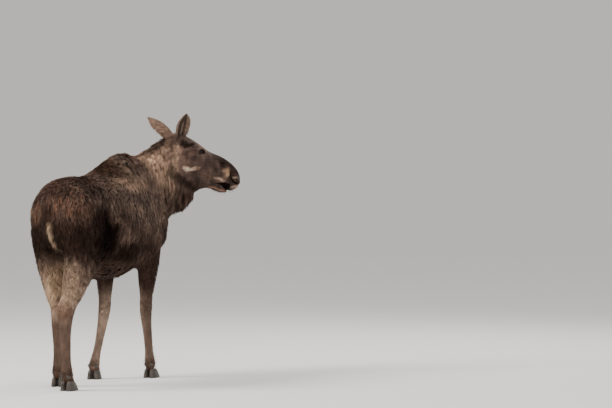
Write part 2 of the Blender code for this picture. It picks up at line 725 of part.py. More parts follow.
def build_leg(leg, side, limb):
    """One leg, parted at the knee or hock, with its two claws and two dewclaws."""
    x, y = leg_line(leg, side, KNEE_CUT[leg])
    down, forward = Vector((0, 0, -1)), Vector((1, 0, 0))
    below = block("below", Vector((x, y, KNEE_CUT[leg])), down, (0.8, 0.5, 0.4), forward)
    lower, upper = part_off(limb, below)
    foot = block("foot", Vector((x, y, SOLE_TO_CORONET)), down, (0.3, 0.9, 0.9), forward)
    lower = boolean(lower, foot, "DIFFERENCE")
    names = ("foreleg", "forearm", "shank") if leg == "fore" else ("hind_leg", "thigh", "shank")
    link(largest_piece(upper), f"{names[0]}_{side}_{names[1]}", "coat")
    shank = largest_piece(lower)
    link(shank, f"{names[0]}_{side}_{names[2]}", "leg_coat")
    for where, outer in (("outer", SIDES[side]), ("inner", -SIDES[side])):
        link(claw(leg, side, outer), f"claw_{leg}_{side}_{where}", "hoof")
        link(largest_piece(dewclaw(leg, side, outer, shank)), f"dewclaw_{leg}_{side}_{where}", "hoof")


main()
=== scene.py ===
"""A standing cow moose in winter coat: skin, eyes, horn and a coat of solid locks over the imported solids."""
import math

import bmesh
import bpy
import numpy as np
from mathutils import Matrix, Vector
from mathutils.bvhtree import BVHTree
from mathutils.kdtree import KDTree


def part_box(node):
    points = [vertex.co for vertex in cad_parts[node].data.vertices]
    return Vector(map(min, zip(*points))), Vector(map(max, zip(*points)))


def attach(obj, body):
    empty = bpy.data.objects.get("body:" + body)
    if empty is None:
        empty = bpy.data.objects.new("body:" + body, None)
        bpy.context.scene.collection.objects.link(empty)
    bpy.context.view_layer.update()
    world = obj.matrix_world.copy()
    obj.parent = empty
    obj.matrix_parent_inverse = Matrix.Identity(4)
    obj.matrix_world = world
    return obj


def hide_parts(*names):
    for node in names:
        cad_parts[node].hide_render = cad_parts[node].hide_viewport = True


bl_info = {
    "name": "Cow Moose Dresser",
    "version": (1, 0, 0),
    "blender": (4, 5, 0),
    "location": "View3D > Sidebar > Moose",
    "description": "Builds the skin, eyes, horn and winter coat of a standing cow moose around its solids",
    "category": "Object",
}

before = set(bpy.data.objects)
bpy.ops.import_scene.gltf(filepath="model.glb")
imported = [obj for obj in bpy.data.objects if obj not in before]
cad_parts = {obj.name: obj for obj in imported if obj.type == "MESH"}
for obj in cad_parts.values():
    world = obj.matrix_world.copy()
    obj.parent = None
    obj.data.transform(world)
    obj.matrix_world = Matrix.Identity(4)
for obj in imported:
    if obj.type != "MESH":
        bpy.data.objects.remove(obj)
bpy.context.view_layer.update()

SIDES = {"left": 1, "right": -1}
LEG_PARTS = (("foreleg", "forearm"), ("foreleg", "shank"), ("hind_leg", "thigh"), ("hind_leg", "shank"))
FLESH = (["trunk", "neck", "head", "lower_jaw", "tail"]
         + [f"{leg}_{side}_{part}" for side in SIDES for leg, part in LEG_PARTS])
UV_NAME = "OFBake"
PATCH = 0.003
COLOUR_NAME = "Pelage"

# Head sizes in the head's own frame: along the face, to its left, up off the forehead
HEAD_YAW = math.radians(-32)
HEAD_PITCH = math.radians(28)
EYE_PLACE = np.array((0.203, 0.075, -0.045))
EYE_RADIUS = 0.0225
EYE_SINK = 0.003
LIDS_ASIDE = 0.09
# The lids' opening on the eyeball, as shares of its radius: how far it slants, its middle and its half sizes
LID_SLANT = 0.30
LID_MIDDLE = (-0.02, 0.02)
LID_HALF = (0.80, 0.54)
LID_LIFT = 0.0022
MOUTH_CORNER = 0.440
# The mouth's slit from its corner forward: along the head, its middle's level, half its height
MOUTH = ((0.438, -0.199, 0.0010), (0.480, -0.182, 0.0035), (0.512, -0.170, 0.0100), (0.535, -0.169, 0.0200),
         (0.562, -0.171, 0.0250), (0.585, -0.176, 0.0170), (0.606, -0.182, 0.0080))
NOSTRIL = np.array(((0.500, -0.040), (0.526, -0.070), (0.552, -0.103), (0.590, -0.111), (0.618, -0.106),
                    (0.642, -0.099)))
NOSTRIL_WIDTH = (0.0035, 0.0060, 0.0080, 0.0085, 0.0100, 0.0110)

# Size of the ears' faces, how far their roots are let into the head, and how the solids are made ready
EAR_GRAIN = 0.0036
EAR_SINK = 0.038
WELD_REACH = 0.00001
FLESH_GROWTH = 0.0012


def box_middle(node):
    low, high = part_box(node)
    return (low + high) / 2


# The animal's own frames, read from the solids
BODY_ORIGIN = Vector((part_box("trunk")[0].x + 0.782, box_middle("trunk").y, 0))
HEAD_TURN = Matrix.Rotation(HEAD_YAW, 3, "Z") @ Matrix.Rotation(HEAD_PITCH, 3, "Y")
EYES = {side: box_middle(f"eye_{side}") for side in SIDES}
POLL = (EYES["left"] + EYES["right"]) / 2 - HEAD_TURN @ Vector((EYE_PLACE[0], 0, EYE_PLACE[2]))


# ---------------------------------------------------------------- numbers

def smooth(value, low, high):
    """0 below low, 1 above high, smoothly between."""
    share = np.clip((value - low) / (high - low), 0, 1)
    return share * share * (3 - 2 * share)


def bump(value, middle, reach):
    """1 at the middle, falling smoothly to 0 a reach away on either side."""
    return 1 - smooth(np.abs(value - middle), 0, reach)


def in_head(points):
    """Points in the head's own frame."""
    return (points - np.array(POLL)) @ np.array(HEAD_TURN)


def from_head(head):
    """Points of the head's own frame, back in the file's."""
    return head @ np.array(HEAD_TURN).T + np.array(POLL)


def in_body(points):
    return points - np.array(BODY_ORIGIN)


def spot(u, v, middle, reach, edge=0.35):
    """1 inside an oval, 0 outside it, with a soft edge."""
    out = np.hypot((u - middle[0]) / reach[0], (v - middle[1]) / reach[1])
    return 1 - smooth(out, 1 - edge, 1 + edge)


def beside_line(u, v, line, widths):
    """How far, in its own half width, each place lies from a bent line, and the side it lies on."""
    out, side = np.full(len(u), 1e3), np.zeros(len(u))
    for start, end, low, high in zip(line[:-1], line[1:], widths[:-1], widths[1:]):
        way = end - start
        part = np.clip(((u - start[0]) * way[0] + (v - start[1]) * way[1]) / (way @ way), 0, 1)
        off = np.hypot(u - start[0] - way[0] * part, v - start[1] - way[1] * part)
        off = off / (low + (high - low) * part)
        closer = off < out
        cross = way[0] * (v - start[1]) - way[1] * (u - start[0])
        out, side = np.where(closer, off, out), np.where(closer, np.sign(cross), side)
    return out, side


def beside(u, v, line, widths, core, edge):
    """1 along a bent line and 0 beside it: it fades from core to edge half widths away."""
    return 1 - smooth(beside_line(u, v, np.array(line), widths)[0], core, edge)


def rounded(line, widths, steps=5):
    """A bent line of few points made into a smooth one of many, with its widths."""
    whole = np.column_stack([line, widths])
    ends = np.vstack([2 * whole[0] - whole[1], whole, 2 * whole[-1] - whole[-2]])
    made = []
    for a, b, c, d in zip(ends[:-3], ends[1:-2], ends[2:-1], ends[3:]):
        for share in np.arange(steps) / steps:
            made.append(0.5 * (2 * b + (c - a) * share + (2 * a - 5 * b + 4 * c - d) * share ** 2
                               + (3 * b - a - 3 * c + d) * share ** 3))
    made = np.array(made + [whole[-1]])
    return made[:, :2], made[:, 2]


def unit(vectors):
    return vectors / np.maximum(np.linalg.norm(vectors, axis=1, keepdims=True), 1e-9)


def wobble(points, size, seed, waves=7):
    """A smooth random field of about unit spread whose lumps are about the given size across."""
    chance = np.random.default_rng(seed)
    total = np.zeros(len(points))
    for _ in range(waves):
        aim = chance.normal(size=3)
        aim *= math.pi / size * chance.uniform(0.6, 1.5) / np.linalg.norm(aim)
        total += np.sin(points @ aim + chance.uniform(0, 6.28))
    return total / math.sqrt(waves / 2)


def streaks(points, size, seed, stretch=0.22):
    """A random field whose lumps hang in long upright streaks."""
    return wobble(points * np.array((1, 1, stretch)), size, seed)


def mix(low, high, share):
    share = np.asarray(share)[:, None]
    return low * (1 - share) + high * share


def laid(rows, *layers):
    """Rows of colour or direction with each layer, a value and its share, laid over them in turn."""
    for over, share in layers:
        rows = mix(rows, over, share)
    return rows


def even(row, points):
    """The same row for every point."""
    return np.tile(row, (len(points), 1))


def read(items, key, width=1, kind=np.float32):
    """One property of each item of a mesh, a row for each where it has more than one number."""
    values = np.empty(len(items) * width, kind)
    items.foreach_get(key, values)
    return values.reshape(-1, width) if width > 1 else values


def points_of(mesh):
    return read(mesh.vertices, "co", 3).astype(float)


def ear_axis(side):
    """The ear's root, its direction and the way it opens, read from its solid."""
    points = points_of(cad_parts[f"ear_{side}"].data)
    middle = points.mean(axis=0)
    _, _, axes = np.linalg.svd(points - middle, full_matrices=False)
    aim = axes[0] * np.sign(axes[0] @ (middle - np.array(POLL)))
    opens = axes[2] * np.sign(axes[2] @ np.array(HEAD_TURN @ Vector((0.5, SIDES[side], 0))))
    root = middle + aim * ((points - middle) @ aim).min()
    return root, aim, opens


EAR_ROOTS = [ear_axis(side)[0] for side in SIDES]


# ---------------------------------------------------------------- regions

def regions(points):
    """Shares, from 0 to 1, of the body's regions at each point."""
    head, body = in_head(points), in_body(points)
    x, side, z = body[:, 0], np.abs(body[:, 1]), body[:, 2]
    s, t = head[:, 0], head[:, 2]
    on_head = smooth(s, -0.06, 0.02) * smooth(t, -0.36, -0.30)
    bell = smooth(x, 0.74, 0.80) * (1 - smooth(z, 1.46, 1.54)) * (1 - on_head) * (z > 1.0)
    along_neck = smooth(x * 0.92 + z * 0.30, 0.90, 1.06) * (1 - on_head) * (1 - bell)
    fore = (x > 0.10) * (1 - smooth(z, 0.86, 1.00)) * (side > 0.055)
    groin = -0.40 + 0.14 * smooth(side, 0.05, 0.13)
    hind = (x < groin) * (1 - smooth(z, 0.92, 1.10)) * (side > 0.004)
    legs = np.clip(fore + hind, 0, 1)
    trunk = np.clip(1 - on_head - bell - along_neck - legs, 0, 1)
    return {"head": on_head, "bell": bell, "neck": along_neck, "fore": fore.astype(float),
            "hind": hind.astype(float), "legs": legs, "trunk": trunk}


# Depth of the coat over the skin, in metres, by region
DEPTHS = {"trunk": 0.020, "hump": 0.027, "neck": 0.030, "bell": 0.016, "belly": 0.030,
          "upper_leg": 0.011, "shank": 0.004, "cheek": 0.013, "face": 0.0035, "muzzle": 0.0022}


def coat_depth(points, normals):
    """How deep the coat lies over the skin at each point."""
    share, body = regions(points), in_body(points)
    s, _, t = in_head(points).T
    z = body[:, 2]
    by_ear = np.min([np.linalg.norm(points - root, axis=1) for root in EAR_ROOTS], axis=0)
    hump = smooth(z, 1.45, 1.62) * smooth(body[:, 0], 0.02, 0.25)
    belly = smooth(-normals[:, 2], 0.2, 0.8) * (z < 1.1)
    trunk = (DEPTHS["trunk"] + (DEPTHS["hump"] - DEPTHS["trunk"]) * hump
             + (DEPTHS["belly"] - DEPTHS["trunk"]) * belly)
    leg = DEPTHS["shank"] + (DEPTHS["upper_leg"] - DEPTHS["shank"]) * smooth(z, 0.50, 0.80)
    leg = leg + (DEPTHS["trunk"] - DEPTHS["upper_leg"]) * smooth(z, 0.80, 1.0)
    inward = smooth(-normals[:, 1] * np.sign(body[:, 1]), 0.2, 0.8)
    leg = leg * (1 - 0.75 * (inward * (1 - smooth(np.abs(body[:, 1]), 0.08, 0.16))))
    low_cheek = (1 - smooth(s, 0.18, 0.40)) * smooth(-t, 0.10, 0.22)
    back_head = 1 - smooth(s, -0.04, 0.10)
    face = DEPTHS["face"] + (DEPTHS["cheek"] - DEPTHS["face"]) * np.maximum(low_cheek, back_head)
    face = face + (DEPTHS["muzzle"] - face) * smooth(s, 0.36, 0.50)
    face = face * smooth(by_ear, 0.025, 0.075)
    return (share["trunk"] * trunk + share["legs"] * leg + share["neck"] * DEPTHS["neck"]
            + share["bell"] * DEPTHS["bell"] + share["head"] * face)


# ---------------------------------------------------------------- markings

COLOURS = {name: np.array(value) for name, value in {
    "brown": (0.098, 0.060, 0.047), "dark": (0.026, 0.0145, 0.011), "black": (0.0050, 0.0028, 0.0024),
    "rust": (0.120, 0.058, 0.038), "tan": (0.480, 0.325, 0.235), "grey_brown": (0.120, 0.074, 0.057),
    "shoulder": (0.092, 0.061, 0.051), "hump": (0.040, 0.019, 0.010), "face": (0.108, 0.071, 0.061),
    "temple": (0.026, 0.016, 0.013), "crown": (0.205, 0.150, 0.122), "pale": (0.420, 0.300, 0.235),
    "cream": (0.520, 0.375, 0.255), "leg": (0.225, 0.155, 0.120), "leg_pale": (0.320, 0.235, 0.185),
    "lip": (0.260, 0.150, 0.115), "muzzle_patch": (0.520, 0.320, 0.200), "ear_back": (0.290, 0.190, 0.145),
    "ear_inside": (0.055, 0.038, 0.029), "mouth_and_nostril_shade": (0.0060, 0.0026, 0.0024),
    "eyeball": (0.014, 0.009, 0.007), "iris": (0.010, 0.005, 0.003), "iris_pale": (0.020, 0.010, 0.005),
    "pupil": (0.004, 0.003, 0.003),
}.items()}
WARMTH = np.array((1.06, 1.00, 0.93))
DARKEST = 0.002

# Lines of the markings with their half widths: the neck's in the body's frame, the others in the head's
# Painted shade: a dark band under the neck's crest
UNDER_CREST_SHADE = (((0.765, 1.855), (0.722, 1.832), (0.676, 1.806), (0.630, 1.780), (0.580, 1.750),
                (0.530, 1.720)),
               (0.016, 0.028, 0.037, 0.037, 0.028, 0.016))
NECK_SEAM = (((0.45, 1.76), (0.46, 1.62), (0.47, 1.36)), (0.035, 0.035, 0.03))
TEMPLE = (((0.018, -0.064), (0.062, -0.052), (0.118, -0.024)), (0.015, 0.022, 0.009))
CHEEK_BAR = (((0.122, -0.229), (0.158, -0.215), (0.190, -0.202), (0.230, -0.180), (0.268, -0.152)),
             (0.017, 0.018, 0.016, 0.012, 0.008))
UPPER_LIP = (((0.436, -0.155), (0.474, -0.147), (0.512, -0.138)), (0.009, 0.011, 0.008))
NOSE_RIM = (((0.585, -0.158), (0.622, -0.137), (0.664, -0.100)), (0.008, 0.011, 0.010))
MOUTH_FOLD = (((0.400, -0.130), (0.428, -0.165), (0.434, -0.198)), (0.006, 0.006, 0.004))
TEAR_GROOVE = (((0.019, -0.010), (0.040, -0.022)), (0.004, 0.003))
CHIN = (((0.410, -0.250), (0.463, -0.223), (0.518, -0.221), (0.580, -0.208)), (0.006, 0.009, 0.011, 0.009))


def tint(name, gain=1.0):
    return COLOURS[name] * gain


def from_eye(s, side, t):
    """How far places of the head's frame lie from the nearer eye's lids."""
    return np.linalg.norm(np.stack([s - EYE_PLACE[0], side - LIDS_ASIDE, t - EYE_PLACE[2]]), axis=0)


def pelage(points, normals):
    """The coat's colour at each point, from the moose's markings."""
    share, body = regions(points), in_body(points)
    x, y, z = body.T
    blur = 0.025 * wobble(points, 0.16, 11) + 0.012 * wobble(points, 0.05, 12)
    xb, zb = x + blur, z + blur
    off_legs = 1 - share["legs"]
    aside = smooth(np.abs(y), 0.05, 0.17)
    shoulder = smooth(xb, -0.25, 0.10) * smooth(zb, 0.95, 1.2)
    under = (1 - smooth(zb, 1.02, 1.34)) * smooth(xb, -0.05, 0.12)
    mane_side = spot(xb, zb, (0.15, 1.56), (0.23, 0.12))
    # The back's upward-facing top, where rusty hair is painted with rim light
    ridge = smooth(normals[:, 2], 0.45, 0.9) * smooth(z, 1.3, 1.5)
    rump_rust_and_rim_light = spot(xb, zb, (-0.66, 1.36), (0.18, 0.10))
    loin = spot(xb, zb, (-0.44, 1.37), (0.30, 0.10), 0.6)
    hump = smooth(zb, 1.49, 1.58) * spot(xb, 0 * xb, (-0.04, 0), (0.29, 1), 0.5)
    # Painted shade: the recess in front of the thigh and behind the elbow, painted near-black
    hollow_shade = np.maximum(spot(xb, zb, (-0.29, 1.11), (0.18, 0.19), 0.45),
                        spot(xb, zb, (-0.08, 0.98), (0.26, 0.12), 0.45))
    low = (1 - smooth(zb, 0.92, 1.26)) * smooth(x, -0.35, -0.15) * aside
    belly = smooth(-normals[:, 2], 0.15, 0.7) * (z < 1.02) * off_legs
    colour = laid(
        even(COLOURS["brown"], points),
        # The shoulder and the ribs are greyer, with tan streaks
        (tint("shoulder"), 0.85 * shoulder),
        (tint("tan", 0.55), shoulder * (0.17 + 0.30 * streaks(points, 0.018, 17)).clip(0, 0.6)),
        (tint("dark", 1.7), 0.62 * under),
        (tint("tan", 0.92), mane_side * (0.60 + 0.25 * streaks(points, 0.02, 18, 0.6)).clip(0, 0.95)),
        # Rust along the spine and orange tufts on the rump's upper rear, rusty hair with painted rim light,
        # and a slate back
        (tint("rust"), ridge * (0.40 + 0.25 * wobble(points, 0.09, 13)).clip(0, 0.8)),
        (tint("rust", 1.9), rump_rust_and_rim_light * (0.36 + 0.36 * streaks(points, 0.025, 14, 0.5)).clip(0, 1)),
        (tint("tan", 0.55), loin * (0.06 + 0.36 * streaks(points, 0.022, 19, 0.4)).clip(0, 0.7)),
        (tint("dark", 1.9), 0.68 * spot(xb, zb, (-0.52, 1.46), (0.32, 0.055), 0.6)),
        (tint("hump"), 0.90 * hump),
        # Dark flank and thigh: dark hair with painted shade. The near-black hollow is painted shade in the
        # recess
        (tint("dark", 0.78), 0.92 * spot(xb, zb, (-0.48, 1.11), (0.36, 0.20), 0.45)),
        (tint("dark"), 0.40 * spot(xb, zb, (-0.70, 1.13), (0.15, 0.13), 0.5)),
        (tint("dark"), 0.40 * spot(xb, zb, (-0.42, 1.32), (0.15, 0.15))),
        (tint("black"), 0.96 * hollow_shade * aside),
        # Painted shade along the lower side of the barrel, above the belly and behind the elbow
        (tint("dark", 1.2), 0.70 * low * off_legs),
        (tint("grey_brown", 0.85), 0.70 * belly))
    colour = leg_markings(colour, points, share, body, normals, blur)
    colour = neck_markings(colour, points, share, body, normals)
    colour = head_markings(colour, points, share)
    # A pale stripe runs below the tail and down the cleft
    rear = smooth(-x, 0.58, 0.68) * bump(y + 0.02 * (z - 1.1), -0.005, 0.032) * smooth(zb, 0.93, 1.0)
    tail = smooth(-x, 0.745, 0.775) * spot(y, z, (0, 1.32), (0.05, 0.12))
    colour = laid(colour, (tint("cream", 0.72), rear * (1 - smooth(zb, 1.20, 1.25))),
                  (tint("dark", 1.6), 0.8 * tail))
    mottle = 1 + 0.10 * wobble(points, 0.11, 15) + 0.08 * wobble(points, 0.03, 16)
    return np.clip(colour * WARMTH * mottle[:, None], DARKEST, 1)


def leg_markings(colour, points, share, body, normals, blur):
    x, y, z = body.T
    fore, hind = share["fore"], share["hind"]
    level = z + 0.9 * blur
    leg = mix(even(COLOURS["leg"], points), COLOURS["leg_pale"],
              (0.5 + 0.4 * wobble(points, 0.10, 21) + 0.3 * streaks(points, 0.02, 22, 0.7)).clip(0, 1))
    front = smooth(x - 0.30, 0.02, 0.06) * fore
    inside = fore * smooth(-np.abs(y), -0.17, -0.12) * (1 - smooth(z, 0.60, 0.78))
    hind_fade = 1 - smooth(level + 0.35 * (x + 0.62) + 0.045 * streaks(points, 0.022, 23, 0.25), 0.67, 0.96)
    ripple = (0.25 + wobble(points * np.array((1, 1, 1.5)), 0.024, 24)) * smooth(z, 0.52, 0.62)
    rear = hind * hind_fade * smooth(-normals[:, 0], 0.25, 0.85) * smooth(z, 0.56, 0.66)
    inner = hind * smooth(-np.abs(y), -0.15, -0.07) * smooth(z, 0.60, 0.75) * (1 - smooth(z, 0.84, 0.98))
    hock = hind * spot(x, z, (-0.67, 0.55), (0.10, 0.06))
    point = hind * spot(x, z, (-0.75, 0.58), (0.05, 0.06))
    shank = hind * (1 - smooth(z, 0.44, 0.57))
    pastern = bump(z, 0.11, 0.07)
    return laid(
        colour,
        (tint("dark", 1.7), fore * smooth(z, 0.54, 0.78) * 0.92),
        (leg * 0.74, fore * (1 - smooth(level, 0.36, 0.73))),
        (tint("grey_brown"), 0.45 * front * (1 - smooth(z, 0.55, 0.75))),
        (tint("leg_pale", 1.15), 0.60 * inside),
        (leg * 1.34, hind * hind_fade),
        (tint("grey_brown", 0.8), hind * hind_fade * (0.52 * ripple).clip(0, 0.85)),
        # Pale hair on the hind legs' rear-facing side, lightened with painted light
        (tint("cream"), 0.50 * rear),
        (tint("cream"), 0.70 * inner),
        (tint("dark", 2), 0.55 * hock),
        (tint("rust", 1.6), 0.45 * point),
        (tint("grey_brown", 0.9), 0.85 * shank),
        (tint("rust", 1.3), 0.45 * pastern * share["legs"]))


def neck_markings(colour, points, share, body, normals):
    x, z = body[:, 0], body[:, 2]
    across = x - 0.56 + 0.30 * (z - 1.60)
    light = 1 - smooth(np.abs(across + 0.02 * wobble(points, 0.06, 32)), 0.10, 0.30)
    light = light * smooth(z, 1.36, 1.60)
    strand = (0.84 + 0.44 * streaks(points, 0.014, 31, 0.15)).clip(0.08, 1.02)
    low = 1 - smooth(z + 0.03 * wobble(points, 0.05, 34), 1.38, 1.66)
    neck = laid(
        even(tint("grey_brown", 1.30), points),
        (tint("tan", 1.38), light * strand),
        # Painted shade in a band under the crest
        (tint("dark", 1.4), 0.92 * beside(x, z, *UNDER_CREST_SHADE, 0.5, 1.4)),
        # Rusty hair with painted rim light on the crest's upward-facing top
        (tint("rust", 1.5), 0.60 * smooth(normals[:, 2], 0.86, 0.98)),
        (tint("dark", 1.4), 0.75 * beside(x, z, *NECK_SEAM, 0.5, 1.6)),
        (tint("brown", 0.62), 0.88 * low))
    bell = mix(even(tint("dark", 1.3), points), COLOURS["grey_brown"],
               (0.2 + 0.3 * streaks(points, 0.02, 33)).clip(0, 0.7))
    return laid(colour, (neck, share["neck"]), (bell, share["bell"]))


def head_markings(colour, points, share):
    head = in_head(points)
    blur = 0.008 * wobble(points, 0.05, 41)
    s, side, t = head[:, 0] + blur, np.abs(head[:, 1]), head[:, 2] + blur
    edge = 0.035 + 0.35 * (-t - 0.15)
    behind = (1 - smooth(s - edge, -0.02, 0.05)) * smooth(-t, 0.05, 0.11)
    strand = (0.85 + 0.40 * streaks(points, 0.014, 42)).clip(0.1, 1.05)
    crown = smooth(t, -0.035, -0.005) * (1 - smooth(s, 0.24, 0.36))
    fleck = (0.84 + 0.42 * streaks(points, 0.010, 43, 0.5)).clip(0, 1)
    nose = spot(s, t, (0.548, -0.088), (0.036, 0.055), 0.45) * (side > 0.02)
    face = laid(
        even(COLOURS["face"], points) * (1.58 - 0.92 * smooth(s, 0.16, 0.30))[:, None],
        (tint("tan"), behind * strand),
        (tint("rust", 1.4), 0.22 * spot(s, t, (0.12, -0.13), (0.085, 0.07))),
        # Pale hair on the crown, raised to a painted highlight along the head's top edge
        (tint("crown", 1.25), 0.85 * crown),
        (tint("temple"), 0.92 * beside(s, t, *TEMPLE, 0.5, 1.4)),
        (tint("pale", 2.6), fleck * beside(s, t, *CHEEK_BAR, 0.3, 1.7) * (1 - 0.62 * smooth(s, 0.22, 0.28))),
        # Painted shade below the jaw and the throat, dark hair on the muzzle's top, and pale patches round the
        # nose and the lips
        (tint("dark", 1.2), 0.75 * smooth(-t, 0.252, 0.29) * (1 - smooth(s, 0.30, 0.42))),
        (tint("grey_brown", 1.1), 0.6 * spot(s, t, (0.33, -0.17), (0.10, 0.04))),
        (tint("dark", 1.2), 0.95 * smooth(s, 0.31, 0.44) * smooth(t, -0.07, -0.02)),
        (tint("muzzle_patch"), 0.85 * spot(s, t, (0.489, -0.082), (0.024, 0.037), 0.60)),
        (tint("pale", 1.3), 0.85 * beside(s, t, *UPPER_LIP, 0.2, 1.8)),
        (tint("grey_brown", 1.4), 0.5 * spot(s, t, (0.465, -0.172), (0.030, 0.012))),
        (tint("dark", 1.3), 0.65 * nose),
        (tint("pale", 1.2), 0.90 * beside(s, t, *NOSE_RIM, 0.5, 1.5)),
        (tint("pale", 0.8), 0.70 * spot(s, t, (0.582, -0.079), (0.024, 0.010), 0.5)),
        (tint("lip", 1.25), 0.85 * beside(s, t, *CHIN, 0.3, 1.7)),
        (tint("temple"), 0.70 * (1 - smooth(from_eye(s, side, t), 0.016, 0.024))))
    grain = wobble(head * np.array((0.45, 1, 1)), 0.013, 44) + 0.6 * wobble(head, 0.030, 45)
    return mix(colour, face * (1 + 0.15 * grain)[:, None], share["head"])


# ---------------------------------------------------------------- lie of the coat

def lie_of_coat(points, normals):
    """The direction in which the hair lies, tangent to the skin."""
    share, head, body = regions(points), in_head(points), in_body(points)
    x, y, z = body.T
    s, t = head[:, 0], head[:, 2]
    top = smooth(normals[:, 2], 0.3, 0.95)
    rear = smooth(-x, 0.52, 0.70)
    under = smooth(-normals[:, 2], 0.3, 0.9)
    spine = even((-1.0, 0.0, -0.05), points)
    spine[:, 1] = 0.10 * np.sign(y)
    trunk = laid(even((-0.50, 0.0, -0.85), points), (spine, top), ((-0.10, 0.0, -1.0), rear),
                 ((-1.0, 0.0, -0.10), under * (1 - rear)),
                 ((-0.28, 0.0, -0.95), bump(x, 0.42, 0.30) * (1 - top)))
    neck = mix(even((-0.34, 0.06, -0.95), points), np.array((-0.85, 0.38, -0.35)), top)
    on_face = even((-1.0, 0.0, 0.0), points)
    on_face[:, 1] = 0.15 * np.sign(head[:, 1])
    on_face[:, 2] = -0.25 - 0.9 * (1 - smooth(t, -0.16, -0.02))
    from_nose = unit(head - np.array((0.60, 0, -0.09))) - np.array((0.6, 0, 0))
    on_face = laid(on_face, ((-0.7, 0.0, -0.9), smooth(-t, 0.18, 0.25)), (from_nose, smooth(s, 0.46, 0.60)),
                   ((-0.45, 0.0, -1.1), (1 - smooth(s, 0.02, 0.16)) * smooth(-t, 0.03, 0.09)))
    lie = sum(share[key][:, None] * field for key, field in
              (("trunk", trunk), ("legs", even((-0.12, 0.0, -1.0), points)), ("neck", neck),
               ("bell", even((-0.05, 0.0, -1.0), points)), ("head", on_face @ np.array(HEAD_TURN).T)))
    # Hair swirls a little everywhere, and curls on the lower thighs
    swirl = np.stack([wobble(points, 0.13, 51 + i) for i in range(3)], 1)
    gaskin = share["hind"] * smooth(z, 0.5, 0.7)
    waves = np.stack([wobble(points, 0.034, 55 + i) for i in range(3)], 1)
    lie = unit(lie) + (0.13 + 0.10 * gaskin)[:, None] * swirl + (0.26 * gaskin)[:, None] * waves
    return unit(lie - normals * np.sum(lie * normals, axis=1, keepdims=True))


# ---------------------------------------------------------------- meshes

def link(mesh, name):
    made = bpy.data.objects.new(name, mesh)
    bpy.context.scene.collection.objects.link(made)
    return made


def finished(piece, slot, *replaced):
    """Fixes a piece to the body and hides the solids that it stands for. The slot is not used."""
    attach(piece, "root")
    if replaced:
        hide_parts(*replaced)
    return piece


def normals_of(mesh):
    """Each vertex's normal."""
    return read(mesh.vertex_normals, "vector", 3).astype(float)


def set_points(mesh, points):
    mesh.vertices.foreach_set("co", points.astype(np.float32).ravel())
    mesh.update()


def edges_of(mesh):
    return read(mesh.edges, "vertices", 2, np.int32).T


def relax(points, edges, passes, strength):
    """Moves each point towards its neighbours' middle by its own strength."""
    a, b = edges
    valence = np.maximum(np.bincount(np.concatenate([a, b]), minlength=len(points)), 1)[:, None]
    for _ in range(passes):
        total = np.stack([np.bincount(a, row[b], len(points)) + np.bincount(b, row[a], len(points))
                          for row in points.T], 1)
        points = points + strength[:, None] * (total / valence - points)
    return points


def modify(obj, kind, **values):
    """Adds a modifier with the given settings."""
    made = obj.modifiers.new(kind.lower(), kind)
    for key, value in values.items():
        setattr(made, key, value)
    return made


def applied(obj, name):
    """A plain mesh of an object as its modifiers leave it; the object is removed."""
    graph = bpy.context.evaluated_depsgraph_get()
    mesh = bpy.data.meshes.new_from_object(obj.evaluated_get(graph))
    mesh.name = name
    bpy.data.objects.remove(obj, do_unlink=True)
    return mesh


def smooth_faces(mesh):
    mesh.polygons.foreach_set("use_smooth", np.ones(len(mesh.polygons), bool))


def dressed(mesh, finish):
    """The mesh with one finish in place of any it had."""
    mesh.materials.clear()
    mesh.materials.append(material(finish))
    return mesh


def paint(mesh, colours):
    """Stores a colour for each vertex."""
    data = np.ones((len(mesh.vertices), 4), np.float32)
    data[:, :3] = colours
    mesh.color_attributes.new(COLOUR_NAME, "FLOAT_COLOR", "POINT").data.foreach_set("color", data.ravel())


def lay_map(mesh, places):
    """Gives the mesh the shared map, with a place on it for each corner."""
    mesh.uv_layers.new(name=UV_NAME).data.foreach_set("uv", places.astype(np.float32).ravel())


def joined(meshes, name):
    """One mesh of several, in their order; they are removed."""
    whole = bmesh.new()
    for mesh in meshes:
        whole.from_mesh(mesh)
        bpy.data.meshes.remove(mesh)
    mesh = bpy.data.meshes.new(name)
    whole.to_mesh(mesh)
    whole.free()
    return mesh


def store(mesh, name, values):
    """Stores a number for each vertex."""
    mesh.attributes.new(name, "FLOAT", "POINT").data.foreach_set("value", np.asarray(values, np.float32))


def stored(mesh, name):
    return read(mesh.attributes[name].data, "value")


def joined_solids(names, grow):
    """One mesh of several solids, each grown a little so that neighbours meet."""
    meshes = []
    for name in names:
        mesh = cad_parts[name].data.copy()
        single = bmesh.new()
        single.from_mesh(mesh)
        bmesh.ops.remove_doubles(single, verts=single.verts, dist=1e-6)
        single.normal_update()
        for vertex, move in [(v, v.normal * grow) for v in single.verts]:
            vertex.co += move
        single.to_mesh(mesh)
        single.free()
        meshes.append(mesh)
    return joined(meshes, "joined")


def remeshed(mesh, size, name, weld=0.0):
    """The mesh, welded where asked, made anew of even faces of the given size."""
    obj = link(mesh, name)
    if weld:
        modify(obj, "WELD", merge_threshold=weld)
    modify(obj, "REMESH", mode="VOXEL", voxel_size=size)
    return applied(obj, name)


def refine(mesh, chosen):
    """Halves the edges of the faces whose middles are chosen."""
    bm = bmesh.new()
    bm.from_mesh(mesh)
    bm.faces.ensure_lookup_table()
    middles = np.array([face.calc_center_median() for face in bm.faces])
    picked = np.nonzero(chosen(middles))[0]
    edges = {edge for index in picked for edge in bm.faces[index].edges}
    bmesh.ops.subdivide_edges(bm, edges=list(edges), cuts=1, use_grid_fill=True, smooth=0.0)
    bm.to_mesh(mesh)
    bm.free()
    mesh.update()


# ---------------------------------------------------------------- skin

def near_head(points):
    head = in_head(points)
    return (head[:, 0] > -0.02) & (head[:, 2] > -0.33)


def near_features(points):
    """Faces round the eyes, the nostrils and the mouth."""
    s, side, t = in_head(points).T
    nose = (s > 0.47) & (t > -0.235) & (t < -0.035)
    return (from_eye(s, np.abs(side), t) < 0.045) | nose


